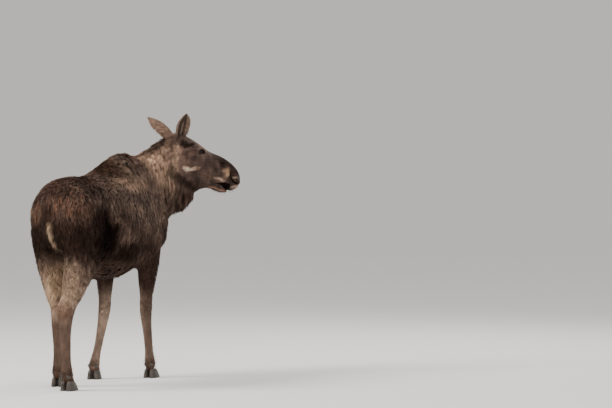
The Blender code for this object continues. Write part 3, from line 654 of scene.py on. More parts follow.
def near_rims(points):
    """Faces along the lids, the lips and the nostrils' edges."""
    s, side, t = in_head(points).T
    side = np.abs(side)
    stations, levels, heights = np.array(MOUTH).T
    away = np.abs(np.abs(t - np.interp(s, stations, levels)) - np.interp(s, stations, heights))
    lips = (s > MOUTH_CORNER - 0.005) & (away < 0.006)
    nostril, _ = beside_line(s, t, *rounded(NOSTRIL, NOSTRIL_WIDTH))
    return (from_eye(s, side, t) < 0.029) | lips | ((nostril < 1.5) & (side > 0.010))


def mouth_and_nostrils(points, normals):
    """Moves the muzzle's skin into lips, a slightly open mouth and slanting nostrils."""
    head = in_head(points)
    s, side, t = head[:, 0], np.abs(head[:, 1]), head[:, 2]
    inward = head - in_head(points + normals)
    on_muzzle = smooth(s, MOUTH_CORNER - 0.005, MOUTH_CORNER + 0.02)
    stations, levels, heights = np.array(MOUTH).T
    opening = np.interp(s, stations, heights)
    away = np.abs(t - np.interp(s, stations, levels))
    gape = on_muzzle * (1 - smooth(away, opening, opening + 0.005))
    sideways = 0.30 + 0.70 * np.abs(inward[:, 1])
    move = inward * (gape * sideways * (0.007 + 0.021 * smooth(s, 0.49, 0.54)))[:, None]
    lips = on_muzzle * bump(away, opening + 0.010, 0.009)
    move = move - inward * (lips * 0.0028)[:, None]
    out, turn = beside_line(s, t, *rounded(NOSTRIL, NOSTRIL_WIDTH))
    hole = (1 - smooth(out, 0.45, 1.15)) * (side > 0.010)
    move = move + inward * (hole * (0.0050 + 0.0140 * smooth(s, 0.51, 0.60)))[:, None]
    rim = bump(out, 1.9, 0.9) * (side > 0.010) * smooth(s, 0.50, 0.57)
    move = move - inward * (rim * (0.0026 + 0.0026 * (turn > 0)))[:, None]
    move = move + inward * (0.0022 * beside(s, t, *MOUTH_FOLD, 0.2, 1.4))[:, None]
    hole = hole * (0.45 + 0.55 * smooth(s, 0.53, 0.60))
    return points + move @ np.array(HEAD_TURN).T, hole, gape


def eye_centre(side):
    """The eyeball's middle in the head's frame, sunk a little behind its solid's."""
    centre = in_head(np.array(EYES[side])[None])[0]
    return centre - np.array((0, SIDES[side] * EYE_SINK, 0))


def eyelids(points):
    """Shapes the skin round each eyeball: an almond opening with thick lids, a brow and a tear groove."""
    head = in_head(points)
    opened, rims = np.zeros(len(points)), np.zeros(len(points))
    for side, sign in SIDES.items():
        offset = head - eye_centre(side)
        distance = np.linalg.norm(offset, axis=1)
        near = (distance < 0.060) & (offset[:, 1] * sign > -0.004)
        aim = offset / np.maximum(distance, 1e-9)[:, None]
        u = aim[:, 0] * math.cos(LID_SLANT) - aim[:, 2] * math.sin(LID_SLANT)
        v = aim[:, 0] * math.sin(LID_SLANT) + aim[:, 2] * math.cos(LID_SLANT)
        almond = ((np.abs(u - LID_MIDDLE[0]) / LID_HALF[0]) ** 2.0
                  + (np.abs(v - LID_MIDDLE[1]) / LID_HALF[1]) ** 1.8)
        inside = 1 - smooth(almond, 0.90, 1.04)
        upper = smooth(v, 0.0, 0.3)
        lid = EYE_RADIUS + LID_LIFT + (0.0012 + 0.0016 * upper) * bump(almond, 1.25, 0.30)
        lid = lid - 0.0016 * bump(almond, 1.75, 0.28) * upper
        shell = np.where(inside > 0.5, EYE_RADIUS - 0.0070, lid)
        blend = near * (1 - smooth(np.hypot(u, v), 0.80, 0.985))
        target = eye_centre(side) + aim * shell[:, None]
        head = head + (target - head) * blend[:, None]
        opened = np.maximum(opened, inside * near)
        rims = np.maximum(rims, near * bump(almond, 1.12, 0.22))
        dip = near * beside(offset[:, 0], offset[:, 2], *TEAR_GROOVE, 0.4, 1.5) * 0.0018
        head[:, 1] -= sign * dip
        brow = near * spot(offset[:, 0], offset[:, 2], (-0.006, 0.027), (0.030, 0.010), 0.5)
        head[:, 1] += sign * 0.0030 * brow
    return from_head(head), opened, rims


def shape_skin(mesh):
    """Smooths the joined flesh and sinks it by the coat's depth."""
    points, edges = points_of(mesh), edges_of(mesh)
    share = regions(points)
    soft = 0.55 * (1 - share["legs"]) * (1 - share["head"]) + 0.22 * share["legs"] + 0.25 * share["head"]
    points = relax(points, edges, 9, soft)
    set_points(mesh, points)
    normals = normals_of(mesh)
    points = points - normals * coat_depth(points, normals)[:, None]
    points = relax(points, edges, 2, np.full(len(points), 0.35))
    set_points(mesh, points)


def smooth_chin(points, edges, passes, low):
    """Rounds the chin, where the jaw's solid ends in an edge; low is where it starts under the forehead."""
    head = in_head(points)
    chin = smooth(head[:, 0], 0.545, 0.575) * smooth(-head[:, 2], low, low + 0.015)
    return relax(points, edges, passes, 0.5 * chin)


def head_features(mesh):
    """Shapes the muzzle and the lids, and says where the nostrils, the mouth, the eyes and their rims are."""
    points, edges = points_of(mesh), edges_of(mesh)
    points, nostril, mouth = mouth_and_nostrils(points, normals_of(mesh))
    muzzle = smooth(in_head(points)[:, 0], 0.42, 0.48) * (in_head(points)[:, 2] > -0.26)
    points = smooth_chin(relax(points, edges, 5, 0.45 * muzzle), edges, 24, 0.190)
    points, eye, rims = eyelids(points)
    set_points(mesh, points)
    return nostril, mouth, eye, rims


def unwrap(obj):
    """Unfolds the skin's own shape into the map that the coat's patches share."""
    layer = obj.data.uv_layers.get(UV_NAME) or obj.data.uv_layers.new(name=UV_NAME)
    obj.data.uv_layers.active = layer
    bpy.ops.object.select_all(action="DESELECT")
    obj.select_set(True)
    bpy.context.view_layer.objects.active = obj
    bpy.ops.object.mode_set(mode="EDIT")
    bpy.ops.mesh.select_all(action="SELECT")
    bpy.ops.uv.smart_project(angle_limit=math.radians(75), island_margin=0.002)
    bpy.ops.object.mode_set(mode="OBJECT")
    obj.select_set(False)


def make_skin(settings):
    """One skin for all the flesh, with the head's features shaped in it and the ears let into it."""
    solids = joined_solids(FLESH + [f"eye_{side}" for side in SIDES], FLESH_GROWTH)
    mesh = remeshed(solids, settings.voxel, "skin")
    shape_skin(mesh)
    refine(mesh, near_head)
    refine(mesh, near_features)
    points, edges = points_of(mesh), edges_of(mesh)
    points = relax(points, edges, 3, 0.4 * near_head(points))
    set_points(mesh, smooth_chin(points, edges, 28, 0.180))
    refine(mesh, near_rims)
    nostril, mouth, eye, rims = head_features(mesh)
    colours = laid(pelage(points_of(mesh), normals_of(mesh)),
                   # Painted shade: the insides of the mouth and the nostrils are near-black
                   (COLOURS["mouth_and_nostril_shade"], np.clip(nostril + mouth, 0, 1)),
                   (COLOURS["black"], np.clip(eye + 0.85 * rims, 0, 1)))
    bare = np.clip(nostril + mouth + eye + rims, 0, 1)
    ear_of = np.zeros(len(bare))
    meshes = [mesh]
    for side, sign in SIDES.items():
        ear = ear_mesh(side)
        colours = np.vstack([colours, ear_colours(points_of(ear), normals_of(ear), side)])
        bare = np.append(bare, np.zeros(len(ear.vertices)))
        ear_of = np.append(ear_of, np.full(len(ear.vertices), sign))
        meshes.append(ear)
    mesh = joined(meshes, "skin")
    paint(mesh, colours)
    store(mesh, "Bare", bare)
    store(mesh, "Ear", ear_of)
    smooth_faces(mesh)
    skin = link(mesh, "skin")
    unwrap(skin)
    dressed(mesh, "hide")
    return finished(skin, "coat", *FLESH, *(f"ear_{side}" for side in SIDES))


# ---------------------------------------------------------------- ears

def ear_mesh(side):
    """The ear's skin, refined from its solid and let into the head."""
    mesh = remeshed(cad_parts[f"ear_{side}"].data.copy(), EAR_GRAIN, "ear", WELD_REACH)
    points = relax(points_of(mesh), edges_of(mesh), 4, np.full(len(mesh.vertices), 0.5))
    flesh = joined_solids(["head", "neck"], 0.0)
    tree = BVHTree.FromPolygons([vertex.co for vertex in flesh.vertices],
                                [face.vertices for face in flesh.polygons])
    bpy.data.meshes.remove(flesh)
    gap = np.array([tree.find_nearest(point)[3] for point in points])
    sunk = EAR_SINK * (1 - smooth(gap, 0.004, 0.020))
    set_points(mesh, points - ear_axis(side)[1] * sunk[:, None])
    return mesh


def ear_place(points, side):
    """Where points lie on an ear, from 0 at its root to 1 at its tip, and from -1 to 1 between its rims."""
    root, aim, opens = ear_axis(side)
    solid = points_of(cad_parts[f"ear_{side}"].data)
    across = np.cross(aim, opens)
    length = ((solid - root) @ aim).max()
    solid_along, solid_side = (solid - root) @ aim / length, (solid - root) @ across
    stations = np.linspace(0.05, 0.98, 14)
    near = [solid_side[np.abs(solid_along - station) < 0.07] for station in stations]
    low, high = np.array([(part.min(), part.max()) for part in near]).T
    along = (points - root) @ aim / length
    middle = np.interp(along, stations, (low + high) / 2)
    half = np.interp(along, stations, (high - low) / 2)
    return along, ((points - root) @ across - middle) / np.maximum(half, 0.004)


def ear_colours(points, normals, side):
    along, edge = ear_place(points, side)
    inner = smooth(normals @ ear_axis(side)[2], -0.1, 0.35)
    ridge = bump(edge, 0.10, 0.16) * (1 - smooth(along, 0.45, 0.65))
    back = mix(even(tint("ear_back", 0.93), points), tint("dark", 2.5),
               (0.14 + 0.42 * wobble(points, 0.011, 62)).clip(0, 0.7))
    rim = 0.85 * smooth(np.abs(edge), 0.40, 0.70) * (0.3 + 0.7 * smooth(along, 0.04, 0.24))
    front = laid(even(COLOURS["ear_inside"], points), (tint("pale", 0.92), rim), (tint("pale"), 0.55 * ridge))
    colours = laid(back, (front, inner), (tint("dark", 2.5), 0.35 * smooth(along, 0.90, 1.0)))
    return np.clip(colours * WARMTH * (1 + 0.12 * wobble(points, 0.02, 61))[:, None], DARKEST, 1)


# ---------------------------------------------------------------- locks

def sample_roots(mesh, density, chance):
    """Roots spread over a mesh, density of them on a square metre: place, normal and map place of each."""
    mesh.calc_loop_triangles()
    triangles = read(mesh.loop_triangles, "vertices", 3, np.int32)
    loops = read(mesh.loop_triangles, "loops", 3, np.int32)
    points, normals = points_of(mesh), normals_of(mesh)
    uvs = read(mesh.uv_layers[UV_NAME].data, "uv", 2)
    corners = points[triangles]
    area = np.linalg.norm(np.cross(corners[:, 1] - corners[:, 0], corners[:, 2] - corners[:, 0]), axis=1) / 2
    weight = np.cumsum(area * density[triangles].mean(axis=1))
    count = int(weight[-1])
    ticks = (np.arange(count) + chance.uniform(0, 1, count)) / count * weight[-1]
    chosen = np.searchsorted(weight, ticks).clip(0, len(area) - 1)
    a, b = chance.uniform(0, 1, (2, count))
    over = a + b > 1
    a[over], b[over] = 1 - a[over], 1 - b[over]
    parts = np.stack([1 - a - b, a, b], 1)[:, :, None]
    place = (corners[chosen] * parts).sum(axis=1)
    normal = unit((normals[triangles[chosen]] * parts).sum(axis=1))
    uv = (uvs[loops[chosen]] * parts).sum(axis=1)
    return place, normal, uv


def nearest_of(points, places):
    """For each place, the number of the nearest point."""
    tree = KDTree(len(points))
    for number, point in enumerate(points):
        tree.insert(point, number)
    tree.balance()
    return np.array([tree.find(place)[1] for place in places])


def clump_pull(place, size, chance):
    """For each root, the way to the middle of its own tuft, and a number for the tuft."""
    cells, centres = set(), []
    for index in chance.permutation(len(place)):
        cell = tuple(np.floor(place[index] / size[index]).astype(int))
        if cell not in cells:
            cells.add(cell)
            centres.append(index)
    nearest = nearest_of(place[centres], place)
    return place[np.array(centres)[nearest]] - place, nearest


# A lock's corners round its middle, in half widths, and how wide each ring is by the number of rings
LOCK_CORNERS = ((-1.0, 0.0), (1.0, 0.0), (0.0, 0.55))
LOCK_TAPERS = {1: (1.0,), 2: (0.95, 0.85)}


def grow_locks(name, roots, lie, length, width, lift, colours, clump, chance, rings=2, variety=1.0):
    """A piece of closed tapering three-sided locks. Each bends from its root along the lie of the coat."""
    place, normal, uv = roots
    count = len(place)
    pull, tuft = clump_pull(place, clump, chance)
    tuft_chance = chance.uniform(0, 1, (tuft.max() + 1, 4))[tuft]
    side = unit(np.cross(normal, lie))
    turn = 0.34 * (tuft_chance[:, :1] - 0.5) + 0.22 * (chance.uniform(size=(count, 1)) - 0.5)
    lie = unit(lie + side * turn)
    side = unit(np.cross(normal, lie))
    length = length * (0.78 + 0.30 * tuft_chance[:, 1] + 0.22 * chance.uniform(size=count))
    rise = lift * (0.55 + 0.6 * tuft_chance[:, 2] + 0.3 * chance.uniform(size=count))
    verts, shades = [], []
    for number, station in enumerate(np.linspace(0, 1, rings + 1)):
        height = rise * math.sin(math.pi * 0.5 * min(station * 1.25, 1.0)) - 0.0012 * (station == 0)
        middle = place + lie * (length * station)[:, None] + normal * height[:, None]
        middle = middle + pull * (0.42 * station ** 1.3)
        sag = 0.10 * length * station ** 2 * (1 - np.abs(normal[:, 2]))
        middle = middle - np.array((0, 0, 1.0)) * sag[:, None]
        if station < 1:
            size = width * LOCK_TAPERS[rings][number] / 2
            ring = [middle + side * (size * across)[:, None] + normal * (size * up)[:, None]
                    for across, up in LOCK_CORNERS]
        else:
            ring = [middle]
        verts += ring
        shades += [np.full(count, station)] * len(ring)
    per = len(verts)
    faces = (np.arange(count)[:, None, None] * per + lock_faces(rings)[None]).reshape(-1, 3)
    mesh = bpy.data.meshes.new(name)
    mesh.vertices.add(count * per)
    mesh.vertices.foreach_set("co", np.stack(verts, 1).astype(np.float32).ravel())
    mesh.loops.add(faces.size)
    mesh.loops.foreach_set("vertex_index", faces.astype(np.int32).ravel())
    mesh.polygons.add(len(faces))
    mesh.polygons.foreach_set("loop_start", (np.arange(len(faces)) * 3).astype(np.int32))
    smooth_faces(mesh)
    mesh.update(calc_edges=True)
    tone = (1 + 0.50 * variety * (tuft_chance[:, 3] - 0.5)
            + 0.26 * math.sqrt(variety) * (chance.uniform(size=count) - 0.5))
    # Painted shade in the coat's depth: each lock darker at its root and lighter at its tip
    root_shade_tip_light = 1 + variety * (0.46 * np.minimum(np.stack(shades, 1) * 1.15, 1.0) ** 0.8 - 0.34)
    tinted = (colours * tone[:, None])[:, None, :] * root_shade_tip_light[:, :, None]
    paint(mesh, np.clip(tinted.reshape(-1, 3), 0, 1))
    spread = np.array([(i % 3 - 1, i // 3) for i in range(per)], float)
    spread[-1, 0] = 0
    spread = spread / (2, per / 3) * PATCH
    lay_map(mesh, (uv[:, None, :] + spread[None] - PATCH / 2).reshape(-1, 2)[faces.ravel()])
    return link(dressed(mesh, "coat_hair"), name)


def lock_faces(rings):
    """Triangles of one lock: a root cap, sides between rings and a pointed tip."""
    faces = [(2, 1, 0)]
    for ring in range(rings - 1):
        low, high = ring * 3, ring * 3 + 3
        for i in range(3):
            j = (i + 1) % 3
            faces += [(low + i, low + j, high + j), (low + i, high + j, high + i)]
    last = (rings - 1) * 3
    faces += [(last + i, last + (i + 1) % 3, last + 3) for i in range(3)]
    return np.array(faces)


def lock_sizes(points, normals):
    """Length, width, lift and tuft size of the locks at each root, and their count on a square metre."""
    share, body = regions(points), in_body(points)
    s, _, t = in_head(points).T
    z = body[:, 2]
    hump = smooth(z, 1.42, 1.60) * smooth(body[:, 0], 0.02, 0.25)
    shank = 1 - smooth(z, 0.45, 0.72)
    cheek = (1 - smooth(s, 0.12, 0.30)) * smooth(-t, 0.06, 0.18)
    jaw = smooth(-t, 0.20, 0.26) * (1 - smooth(s, 0.44, 0.54))
    long_face = np.maximum(np.maximum(cheek, 1 - smooth(s, -0.02, 0.10)), 0.6 * jaw)
    muzzle = smooth(s, 0.38, 0.50)
    under = smooth(-normals[:, 2], 0.2, 0.8)
    # Length, width and count by region
    locks = {"trunk": (0.048 + 0.036 * hump + 0.012 * under, 0.0054, 22e3 + 6e3 * hump),
             "legs": (0.032 - 0.020 * shank, 0.0045 - 0.0023 * shank, 22e3 + 56e3 * shank),
             "neck": (0.068, 0.0050, 32e3),
             "bell": (0.060, 0.0052, 34e3),
             "head": (0.0125 + 0.028 * long_face - 0.0045 * muzzle, 0.0017 + 0.0026 * long_face,
                      130e3 + 60e3 * muzzle - 78e3 * long_face)}
    length, width, count = (sum(share[key] * sizes[i] for key, sizes in locks.items()) for i in range(3))
    lift = (coat_depth(points, normals) * (0.92 - 0.12 * share["trunk"])
            * (1 - 0.35 * share["head"] * (1 - long_face)))
    inner = share["hind"] * smooth(-np.abs(body[:, 1]), -0.15, -0.08) * bump(z, 0.78, 0.20)
    fringe = share["legs"] * np.maximum(bump(z, 0.080, 0.034), 0.8 * bump(z, 0.142, 0.030))
    length = length + 0.022 * inner + 0.022 * fringe
    lift = lift + 0.010 * inner + 0.005 * fringe
    return length, width, lift, 0.008 + 0.30 * length, count


# The coat's pieces, and how many steps a lock of theirs has from root to tip
COAT_PIECES = {"rump_left": 2, "rump_right": 2, "barrel_left": 2, "barrel_right": 2, "shoulder_left": 2,
               "shoulder_right": 2, "neck_left": 2, "neck_right": 2, "cheek_left": 2, "cheek_right": 2,
               "face_left": 1, "face_right": 1, "forelegs": 2, "hind_legs": 2, "shanks": 1}


VARIETY = {1: 0.4, 2: 1.0}
# The ears' locks: how many a square metre has, their width, tuft size and how much their shade varies
EAR_DENSITY = 78e3
EAR_LOCK_WIDTH = 0.0021
EAR_TUFT = 0.010
EAR_VARIETY = 0.7


def piece_of(points):
    """The coat piece that each point belongs to, as an index into COAT_PIECES."""
    share, body = regions(points), in_body(points)
    s, side, _ = in_head(points).T
    right = (side < 0).astype(int)
    index = np.where(body[:, 0] < -0.42, 0, np.where(body[:, 0] < 0.14, 2, 4)) + (body[:, 1] < 0)
    index = np.where(share["neck"] + share["bell"] > 0.5, 6 + right, index)
    index = np.where(share["head"] > 0.5, np.where(s < 0.16, 8, 10) + right, index)
    leg = np.where(body[:, 2] < 0.56, 14, np.where(share["fore"] > 0.5, 12, 13))
    return np.where(share["legs"] > 0.5, leg, index)


def make_coat(settings):
    """Grows the whole coat over the skin, a piece for each part of the body."""
    skin = bpy.data.objects["skin"].data
    chance = np.random.default_rng(settings.seed)
    points, normals = points_of(skin), normals_of(skin)
    haired = (1 - smooth(stored(skin, "Bare"), 0.02, 0.3)) * (np.abs(stored(skin, "Ear")) < 0.5)
    density = lock_sizes(points, normals)[4] * haired * smooth(points[:, 2], 0.060, 0.070)
    piece = piece_of(points)
    share = settings.thickness * 1
    for number, (name, steps) in enumerate(COAT_PIECES.items()):
        place, normal, uv = sample_roots(skin, density * share * (piece == number), chance)
        length, width, lift, clump, _ = lock_sizes(place, normal)
        width = width * 1
        lie, colours = lie_of_coat(place, normal), pelage(place, normal)
        coat = grow_locks(f"coat_{name}", (place, normal, uv), lie, length, width, lift, colours, clump,
                          chance, steps, VARIETY[steps])
        finished(coat, "coat")


def make_ear_coat(side, settings):
    """Short hair on the back of an ear and longer pale hair along its rim."""
    skin = bpy.data.objects["skin"].data
    chance = np.random.default_rng(settings.seed + 5 + SIDES[side])
    _, aim, opens = ear_axis(side)
    across = np.cross(aim, opens)
    edge = np.abs(ear_place(points_of(skin), side)[1])
    inner = smooth(normals_of(skin) @ opens, 0.0, 0.4)
    density = EAR_DENSITY * (1 + 0.6 * smooth(edge, 0.6, 0.9) - 0.55 * inner * (1 - smooth(edge, 0.4, 0.7)))
    density = density * (stored(skin, "Ear") * SIDES[side] > 0.5)
    place, normal, uv = sample_roots(skin, density * (1), chance)
    along, edge = ear_place(place, side)
    fringe = smooth(np.abs(edge), 0.62, 0.90) * smooth(normal @ opens, 0.0, 0.4)
    lie = even(aim, place) - across * (0.45 * np.sign(edge) * fringe)[:, None]
    lie = unit(lie - 0.9 * normal * np.sum(lie * normal, axis=1, keepdims=True))
    length = 0.011 + 0.005 * fringe + 0.010 * (1 - smooth(along, 0.02, 0.20))
    length = length * (1 - 0.70 * smooth(along, 0.70, 0.95))
    width, clump = np.full(len(place), EAR_LOCK_WIDTH), np.full(len(place), EAR_TUFT)
    coat = grow_locks(f"coat_ear_{side}", (place, normal, uv), lie, length, width, 0.0020 + 0.0024 * fringe,
                      ear_colours(place, normal, side), clump, chance, 2, EAR_VARIETY)
    return finished(coat, "face")


# ---------------------------------------------------------------- lashes and whiskers

BRISTLE_CORNERS = 4
LASHES = 44
WHISKERS = 9e3
LASH_SIZE = (0.020, 0.0006)
WHISKER_SIZE = (0.036, 0.0005)
# The shortest and the longest bristle, as shares of the length asked for
BRISTLE_SPREAD = (0.65, 1.10)


def bristle_tree():
    """Geometry Nodes that stand a thin cone on each point, along the point's own direction."""
    tree = bpy.data.node_groups.new("bristles", "GeometryNodeTree")
    for name, kind in (("Roots", "Geometry"), ("Thickness", "Float"), ("Shortest", "Float"),
                       ("Longest", "Float"), ("Seed", "Int"), ("Finish", "Material")):
        tree.interface.new_socket(name, in_out="INPUT", socket_type=f"NodeSocket{kind}")
    tree.interface.new_socket("Bristles", in_out="OUTPUT", socket_type="NodeSocketGeometry")
    given, taken = tree.nodes.new("NodeGroupInput"), tree.nodes.new("NodeGroupOutput")
    cone = add_node(tree, "GeometryNodeMeshCone", Vertices=BRISTLE_CORNERS, Radius_Top=0, Depth=1)
    aim = add_node(tree, "GeometryNodeInputNamedAttribute", data_type="FLOAT_VECTOR", Name="aim")
    length = add_node(tree, "GeometryNodeInputNamedAttribute", data_type="FLOAT", Name="length")
    turned = add_node(tree, "FunctionNodeAlignRotationToVector", axis="Z")
    uneven = add_node(tree, "FunctionNodeRandomValue", data_type="FLOAT")
    shortest, longest = [socket for socket in uneven.inputs if socket.enabled][:2]
    share = [socket for socket in uneven.outputs if socket.enabled][0]
    long = add_node(tree, "ShaderNodeMath", operation="MULTIPLY")
    size = add_node(tree, "ShaderNodeCombineXYZ", X=1, Y=1)
    stood = add_node(tree, "GeometryNodeInstanceOnPoints")
    real = add_node(tree, "GeometryNodeRealizeInstances")
    finish = add_node(tree, "GeometryNodeSetMaterial")
    for start, end in (
            (given.outputs["Thickness"], cone.inputs["Radius Bottom"]),
            (given.outputs["Shortest"], shortest),
            (given.outputs["Longest"], longest),
            (given.outputs["Seed"], uneven.inputs["Seed"]),
            (aim.outputs["Attribute"], turned.inputs["Vector"]),
            (length.outputs["Attribute"], long.inputs[0]),
            (share, long.inputs[1]),
            (long.outputs["Value"], size.inputs["Z"]),
            (given.outputs["Roots"], stood.inputs["Points"]),
            (cone.outputs["Mesh"], stood.inputs["Instance"]),
            (turned.outputs["Rotation"], stood.inputs["Rotation"]),
            (size.outputs["Vector"], stood.inputs["Scale"]),
            (stood.outputs["Instances"], real.inputs["Geometry"]),
            (real.outputs["Geometry"], finish.inputs["Geometry"]),
            (given.outputs["Finish"], finish.inputs["Material"]),
            (finish.outputs["Geometry"], taken.inputs["Bristles"])):
        tree.links.new(start, end)
    return tree


def make_bristles(name, place, way, size, colour, seed):
    """A piece of bristles at the given roots, all of one given colour, each mapped as its own root."""
    skin = bpy.data.objects["skin"].data
    length, thickness = size
    roots = bpy.data.meshes.new(name)
    roots.from_pydata(place.tolist(), [], [])
    aims = roots.attributes.new("aim", "FLOAT_VECTOR", "POINT")
    aims.data.foreach_set("vector", way.astype(np.float32).ravel())
    store(roots, "length", np.full(len(place), length))
    obj = link(roots, name)
    tree = bpy.data.node_groups.get("bristles") or bristle_tree()
    modifier = modify(obj, "NODES", node_group=tree)
    sockets = {item.name: item.identifier for item in tree.interface.items_tree}
    for label, value in zip(("Thickness", "Shortest", "Longest", "Seed", "Finish"),
                            (thickness, *BRISTLE_SPREAD, seed, material("coat_hair"))):
        modifier[sockets[label]] = value
    mesh = applied(obj, name)
    root_uv = np.zeros((len(skin.vertices), 2))
    root_uv[read(skin.loops, "vertex_index", kind=np.int32)] = read(skin.uv_layers[UV_NAME].data, "uv", 2)
    nearest = nearest_of(points_of(skin), place)
    spread = np.array(((0, 0), (1, 0), (1, 1), (0, 1), (0.5, 0.5))) * PATCH - PATCH / 2
    point_uv = (root_uv[nearest][:, None] + spread[None]).reshape(-1, 2)
    lay_map(mesh, point_uv[read(mesh.loops, "vertex_index", kind=np.int32)])
    paint(mesh, even(colour, mesh.vertices))
    return finished(link(dressed(mesh, "coat_hair"), name), "coat")


def lid_rim(side):
    """Places along the upper lid's rim, and the way its lashes point."""
    sign = SIDES[side]
    turn = np.linspace(0.10, 0.86, LASHES) * math.pi
    u, v = LID_MIDDLE[0] + LID_HALF[0] * np.cos(turn), LID_MIDDLE[1] + LID_HALF[1] * np.sin(turn)
    ahead = u * math.cos(LID_SLANT) + v * math.sin(LID_SLANT)
    up = v * math.cos(LID_SLANT) - u * math.sin(LID_SLANT)
    aim = np.stack([ahead, sign * np.sqrt(1 - ahead ** 2 - up ** 2), up], 1)
    way = unit(aim * 0.55 + np.array((0.10, 0.70 * sign, -0.22)))
    return from_head(eye_centre(side) + aim * (EYE_RADIUS + LID_LIFT)), way @ np.array(HEAD_TURN).T


def make_lashes(settings):
    """A row of dark lashes on each upper lid."""
    place, way = (np.vstack(parts) for parts in zip(*(lid_rim(side) for side in SIDES)))
    return make_bristles("lashes", place, way, LASH_SIZE, COLOURS["black"], settings.seed)


def make_whiskers(settings):
    """Sparse stiff hairs on the lips and the chin, WHISKERS of them on a square metre."""
    skin = bpy.data.objects["skin"].data
    s, _, t = in_head(points_of(skin)).T
    lips = smooth(s, 0.44, 0.50) * smooth(-t, 0.115, 0.14) * (stored(skin, "Bare") < 0.02)
    chance = np.random.default_rng(settings.seed + 20)
    place, normal, _ = sample_roots(skin, WHISKERS * lips, chance)
    way = unit(0.75 * normal + 0.65 * lie_of_coat(place, normal) + 0.12 * chance.normal(size=place.shape))
    return make_bristles("whiskers", place, way, WHISKER_SIZE, COLOURS["grey_brown"], settings.seed)


# ---------------------------------------------------------------- materials

def add_node(tree, kind, **values):
    """A new node with the given properties and inputs."""
    made = tree.nodes.new(kind)
    for key, value in values.items():
        if hasattr(made, key):
            setattr(made, key, value)
        else:
            made.inputs[key.replace("_", " ")].default_value = value
    return made


def noise(tree, scale, detail, roughness=0.5, squash=1.0):
    """Noise in the piece's own coordinates; a squash under 1 draws it out upright, as hair hangs."""
    coordinates = tree.nodes.get("Coordinates") or add_node(tree, "ShaderNodeTexCoord", name="Coordinates")
    mapping = add_node(tree, "ShaderNodeMapping", Scale=(1, 1, squash))
    made = add_node(tree, "ShaderNodeTexNoise", Scale=scale, Detail=detail, Roughness=roughness)
    tree.links.new(coordinates.outputs["Object"], mapping.inputs["Vector"])
    tree.links.new(mapping.outputs["Vector"], made.inputs["Vector"])
    return made.outputs["Fac"]


def ranged(tree, source, low, high, least, most):
    """The source's values from low to high, spread from least to most."""
    spread = add_node(tree, "ShaderNodeMapRange", From_Min=low, From_Max=high, To_Min=least, To_Max=most)
    tree.links.new(source, spread.inputs["Value"])
    return spread.outputs["Result"]


def markings(tree):
    """The outputs of the painted markings."""
    return add_node(tree, "ShaderNodeAttribute", attribute_name=COLOUR_NAME).outputs


def tinted(tree, shader, pattern, least, most):
    """Base colour from the painted markings, lightened and darkened by a pattern."""
    shade = add_node(tree, "ShaderNodeVectorMath", operation="SCALE")
    tree.links.new(markings(tree)["Color"], shade.inputs[0])
    tree.links.new(ranged(tree, pattern, 0.3, 0.7, least, most), shade.inputs["Scale"])
    tree.links.new(shade.outputs["Vector"], shader.inputs["Base Color"])


def dull_darks(tree, shader):
    """Less gloss on the darkest hair, which would otherwise look grey."""
    gloss = ranged(tree, markings(tree)["Fac"], 0.01, 0.07, 0.03, 0.26)
    tree.links.new(gloss, shader.inputs["Specular IOR Level"])


def add_bump(tree, shader, source, strength, distance):
    made = add_node(tree, "ShaderNodeBump", Strength=strength, Distance=distance)
    tree.links.new(source, made.inputs["Height"])
    tree.links.new(made.outputs["Normal"], shader.inputs["Normal"])


def dress_hide(tree, shader):
    """The skin's short underhair: the markings with a fine hanging grain."""
    grain = noise(tree, 260.0, 4.0, squash=0.28)
    tinted(tree, shader, grain, 0.62, 1.25)
    add_bump(tree, shader, grain, 0.55, 0.0022)
    dull_darks(tree, shader)


def dress_hair(tree, shader):
    """Hair locks: the markings with light and dark streaks."""
    tinted(tree, shader, noise(tree, 190.0, 3.0, 0.55), 0.78, 1.28)
    dull_darks(tree, shader)


def dress_horn(tree, shader):
    """Cloudy dark horn with fine upright grain."""
    ramp = add_node(tree, "ShaderNodeValToRGB")
    for end, place, colour in zip(ramp.color_ramp.elements, (0.30, 0.75), (HORN_DARK, HORN_PALE)):
        end.position, end.color = place, (*colour, 1)
    tree.links.new(noise(tree, 38.0, 4.0, 0.55), ramp.inputs["Fac"])
    tree.links.new(ramp.outputs["Color"], shader.inputs["Base Color"])
    add_bump(tree, shader, noise(tree, 300.0, 3.0, squash=0.25), 0.35, 0.0008)


def dress_eye(tree, shader):
    tree.links.new(markings(tree)["Color"], shader.inputs["Base Color"])
    shader.inputs["Specular IOR Level"].default_value = 0.16


def dress_floor(tree, shader):
    add_bump(tree, shader, noise(tree, 3.0, 4.0, 0.55), 0.05, 0.002)


HORN_DARK = (0.016, 0.013, 0.011)
HORN_PALE = (0.095, 0.072, 0.056)
# Each finish's plain colour, its roughness and what dresses it
FINISHES = {"hide": (COLOURS["brown"], 0.78, dress_hide),
            "coat_hair": (COLOURS["brown"], 0.62, dress_hair),
            "horn": ((0.035, 0.028, 0.024), 0.48, dress_horn),
            "eyeball": ((0.012, 0.007, 0.005), 0.05, dress_eye),
            "pale_floor": ((0.86, 0.85, 0.83), 0.85, dress_floor)}


def material(name):
    """The named finish, made when it is first asked for."""
    made = bpy.data.materials.get(name)
    if made is None:
        base, roughness, dress = FINISHES[name]
        made = bpy.data.materials.new(name)
        made.use_nodes = True
        shader = made.node_tree.nodes["Principled BSDF"]
        shader.inputs["Base Color"].default_value = (*base, 1)
        shader.inputs["Roughness"].default_value = roughness
        dress(made.node_tree, shader)
    return made


# ---------------------------------------------------------------- eyes and horn

# The eyeball's clear bulge, the iris's edge from full to none, and the pupil's half sizes, by the radius
BULGE = 0.035
IRIS_EDGE = (0.54, 0.60)
PUPIL_HALF = (0.30, 0.16)
# Growth rings of the horn
RING_STEP = 0.0075
RING_HEIGHT = 0.00045


